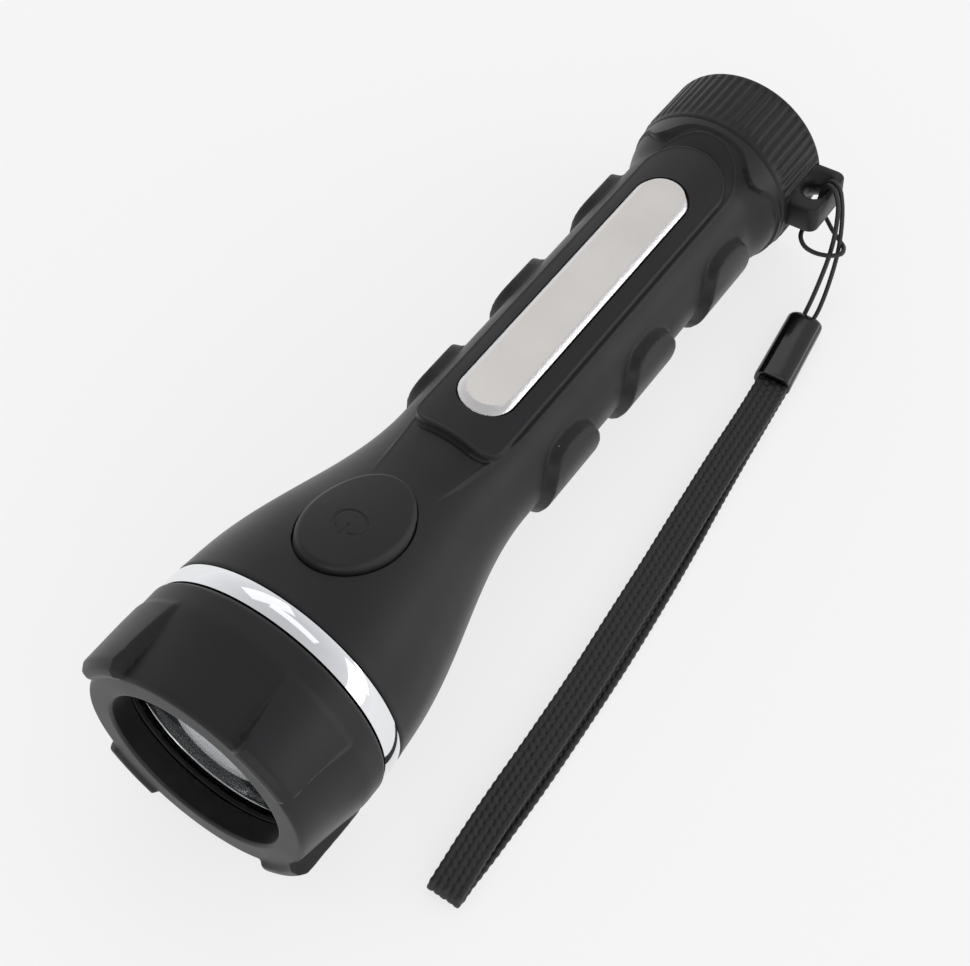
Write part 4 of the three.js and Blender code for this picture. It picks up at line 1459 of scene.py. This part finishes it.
    def make_barrel(self) -> None:
        """Moulds the barrel, with its screw threads at both ends."""
        front, tail, bore, step = HEAD_THREAD.crest, TAIL_THREAD.crest, 13.4, 0.25
        rows = [(-10.4, 21.0), *((x, front) for x in np.arange(-10.4, -16.5, -step)), (-17, front), (-25.1, front)]
        rows += [(x, float(barrel_radius(x))) for x in (-25.1, -33, -42, -52, -62, -69)]
        rows += [(-173.6, BARREL_TUBE_R), (-173.6, tail), (-176.9, tail)]
        rows += [*((x, tail) for x in np.arange(-177.2, -184.3, -step)), (-184.3, tail), (-184.3, bore), (-66, bore)]
        rows += [*((x, float(barrel_radius(x)) - 1.6) for x in (-62, -52, -42, -34.2)), (-34.2, 21.0)]
        profile = np.array(rows)
        x, radius, angles = profile[:, :1], profile[:, 1:], turns(120, 360)[None]
        sink = HEAD_THREAD.depth(x, radius, angles) + TAIL_THREAD.depth(x, radius, angles)
        barrel = skin("threaded_barrel", self.frame.lay(around(x, radius - sink, angles)))
        fit(dress(barrel, BLACK_ABS, Crease.STAMPED), Body.TORCH, "barrel")

    def make_seals(self) -> None:
        """Turns the two seal rings, with oval sections."""
        for name, node, x, radius, half_x, half_r in (
            ("head_seal_ring", "bezel_o_ring", -17.9, 23.55, 0.9, 0.65),
            ("tail_seal_ring", "tail_o_ring", -175.2, 16.65, 0.9, 0.75),
        ):
            section = [(x + half_x * math.cos(t), radius + half_r * math.sin(t)) for t in turns(16)]
            seal = turned(name, self.frame, section, 96)
            fit(dress(seal, SILICONE, Crease.MOULDED), Body.TORCH, node)

    def make_cells(self) -> None:
        """Turns the two cells, with bare metal ends and a plain sleeve."""
        for number, front in ((1, -61.5), (2, -111.8)):
            rear = front - self.cell_length
            cap = [(front, 0), (front, 3.3), (front - 1.6, 3.3), (front - 1.6, 11.6), (front - 2.6, 13)]
            outline = softened([*cap, (rear + 0.6, 13), (rear, 12.2), (rear, 0)], 0.4, 3, closed=False)
            cell = dress(turned(f"battery_cell_{number}", self.frame, outline, 72), SLEEVE, Crease.STAMPED)
            cell.data.materials.append(SPRING_STEEL.material())
            for face in cell.data.polygons:
                along = (np.array(face.center) / MM - self.frame.origin) @ self.frame.beam
                face.material_index = 1 if along > front - 2.2 or along < rear + 0.3 else 0
            fit(cell, Body.TORCH, f"cell_{number}")


@dataclass
class Tail:
    """Ribbed cap with the lanyard lug, and the spring inside."""

    frame: TorchFrame
    ribs: int = 56
    rib_depth: float = 0.45
    floor: float = -185.8
    lug_angle: float = 8.0
    lug_outer: float = 25.2
    lug_root: float = 16.9
    lug_front: float = -175.2
    lug_thickness: float = 6.5
    lug_edge: float = 0.7
    hole_at: tuple[float, float] = (-183.3, 21.1)
    hole_radius: float = 2.5
    hole_stretch: float = 1.1
    coils: int = 4
    wire_radius: float = 0.6

    def build(self) -> None:
        """Makes the cap and the spring with its plate."""
        self.make_cap()
        self.make_spring()

    def tilt(self, points: np.ndarray) -> np.ndarray:
        """Turns points of the lug's own plane to where it stands on the cap."""
        y, z = rotated(points[..., 1], points[..., 2], self.lug_angle)
        return np.stack([points[..., 0], y, z], axis=-1)

    def make_cap(self) -> None:
        """Moulds the cap: rounded ribs, a plain rear band, the lug and its dished hole."""
        corners = [(-173.3, 18.5), (-174.0, 19), (-189.3, 19), (-LENGTH, 18.3), (-LENGTH, 0.02)]
        outer = refined(softened(corners, 0.3, 3, closed=False)[:-1], 0.7, closed=False)
        walls = np.array([(self.floor, 15.9), (-176.6, 15.9), (-176.6, 17.8), (-173.3, 17.8)])
        angles = turns(self.ribs * 8, 360)[None]
        valley = smoothstep(0.5 + 0.5 * np.cos(np.radians(angles) * self.ribs), 0.25, 0.9)
        x = outer[:, :1]
        share = (1 - smoothstep(x, -175.2, -173.4)) * smoothstep(x, -189.0, -188.4)
        sink = self.rib_depth * blend(smoothstep(x, -176.5, -174.2), 1, valley) * np.where(x > -176.5, 1, share)
        shell = around(x, outer[:, 1:] - sink, angles)
        inside = around(walls[:, :1], walls[:, 1:], angles)
        end, floor = (around(np.array([[at]]), 9.0, angles) for at in (-LENGTH, self.floor))
        rows = np.concatenate([end, shell[::-1], inside[::-1], floor])
        middles = self.frame.lay(np.array([[-LENGTH, 0, 0], [self.floor, 0, 0]]))
        cap = domed("ribbed_cap", middles[0], self.frame.lay(rows), middles[1])
        carve(cap, [self.lug_block()], Cut.JOIN)
        carve(cap, [self.lug_hole()], Cut.AWAY)
        fit(dress(cap, RUBBER, Crease.MOULDED), Body.CAP, "tail_cap")

    def lug_block(self) -> bpy.types.Object:
        """The lug as a block with rounded corners and edges, rooted in the cap's wall.

        Returns:
            The block.
        """
        edge, root = self.lug_edge, self.lug_root
        middle = (self.lug_front - LENGTH) / 2
        rows = []
        for turn in np.radians(np.linspace(-90, 90, 11)):
            inset = edge * (1 - math.cos(turn))
            height = (self.lug_thickness / 2 - edge) * np.sign(turn) + edge * math.sin(turn)
            length = LENGTH + self.lug_front - 2 * inset
            width = self.lug_outer - root - inset
            plan = rounded_plan(middle, root + width / 2, length, width, 2.2 - 0.6 * inset, 10)
            rows.append(at_height(plan, height))
        return skin("lug", self.frame.lay(self.tilt(np.array(rows))), closed_rows=False)

    def lug_hole(self) -> bpy.types.Object:
        """The tool that cuts the lug's hole and the oval dish at each of its ends.

        Returns:
            The tool that carve takes.
        """
        half = self.lug_thickness / 2
        profile = [(-half - 3, 3.8), (-half, 3.4), (-half + 0.7, 3.1), (-half + 1.5, 2.7), (-half + 2.4, 2.5)]
        profile += [(half - 2.4, 2.5), (half - 1.9, 2.6), (half - 1.3, 2.85), (half - 0.7, 3.2), (half - 0.2, 3.6)]
        profile += [(half + 0.3, 4.1)]
        turn = turns(64)
        rows = []
        for height, radius in profile:
            long = radius + self.hole_stretch * (radius - self.hole_radius)
            x, y = self.hole_at[0] + long * np.cos(turn), self.hole_at[1] + radius * np.sin(turn)
            rows.append(at_height(np.stack([x, y], axis=1), height))
        return skin("hole", self.frame.lay(self.tilt(np.array(rows))), closed_rows=False)

    def make_spring(self) -> None:
        """Winds the conical spring and turns the contact plate behind it."""
        share = np.linspace(0, 1, 33)
        angle = 2 * math.pi * self.coils * share
        coil = blend(5.0, 8.2, share)
        route = np.stack([blend(-162.8, -183.4, share), coil * np.cos(angle), coil * np.sin(angle)], axis=1)
        line = self.frame.lay(smooth_route(route.tolist(), 0.7))
        spring = dress(swept("conical_spring", line, self.wire_radius, 12), SPRING_STEEL, Crease.MOULDED)
        fit(spring, Body.SPRING, "tail_spring")
        outline = softened([(-184.7, 0), (-184.7, 15.2), (-185.4, 15.2), (-185.4, 0)], 0.2, 2, closed=False)
        plate = dress(turned("contact_plate", self.frame, outline, 96), SPRING_STEEL, Crease.STAMPED)
        fit(plate, Body.SPRING, "tail_contact")


@dataclass
class Inside:
    """The small inner parts whose solids already have their real shape, and the two leads."""

    frame: TorchFrame
    lead_radius: float = 0.6

    battery_route = ((-52.2, 0, 0), (-48, 3.9, -1), (-40, 4.1, -1), (-35, 2.5, 0), (-31.6, 1, 0))
    button_route = ((-34.9, 0, 15), (-34.7, 0, 12), (-34.6, 0, 8), (-34.5, 0, 5), (-31.7, 0, 2.6))

    def build(self, nodes: dict[str, bpy.types.Object]) -> None:
        """Dresses the solids that stay, and draws the two leads finer.

        Args:
            nodes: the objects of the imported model.
        """
        kept = {
            "led_board": SOLDER_MASK,
            "board_screw_1": SPRING_STEEL,
            "board_screw_2": SPRING_STEEL,
            "core_frame": WHITE_ACETAL,
            "switch_housing": BLACK_ABS,
            "ground_strip": BRASS,
            "front_contact": BRASS,
        }
        for name, finish in kept.items():
            mesh = nodes[name].data
            mesh.materials.clear()
            mesh.materials.append(finish.material())
            LOG.info("%s keeps its solid with %s", name, finish.name)
        self.make_lead("battery_lead", "positive_lead", self.battery_route)
        self.make_lead("button_lead", "switch_lead", self.button_route)

    def make_lead(self, name: str, node: str, route: Sequence[tuple[float, float, float]]) -> None:
        """Draws an insulated lead along its route.

        Args:
            name: the piece's name.
            node: the CAD node that it stands for.
            route: its points, in the torch's frame.
        """
        line = self.frame.lay(smooth_route(route, 0.5))
        fit(dress(swept(name, line, self.lead_radius, 16), PVC_RED, Crease.MOULDED), Body.TORCH, node)


def main(packed: dict[str, Any]) -> None:
    """Builds the scene, in the order camera, cords, then the torch from the front.
    """
    logging.basicConfig(level=logging.INFO, format="%(message)s")
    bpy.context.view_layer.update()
    frame = TorchFrame(packed["record"])
    Studio().build()
    Lanyard().build()
    Head(frame).build()
    Switch(frame).build()
    Handle(frame).build()
    Tail(frame).build()
    Inside(frame).build(packed["nodes"])


scene = bpy.context.scene
scene.view_settings.view_transform = "Standard"
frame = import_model()

if __name__ == "__main__":
    main(frame)
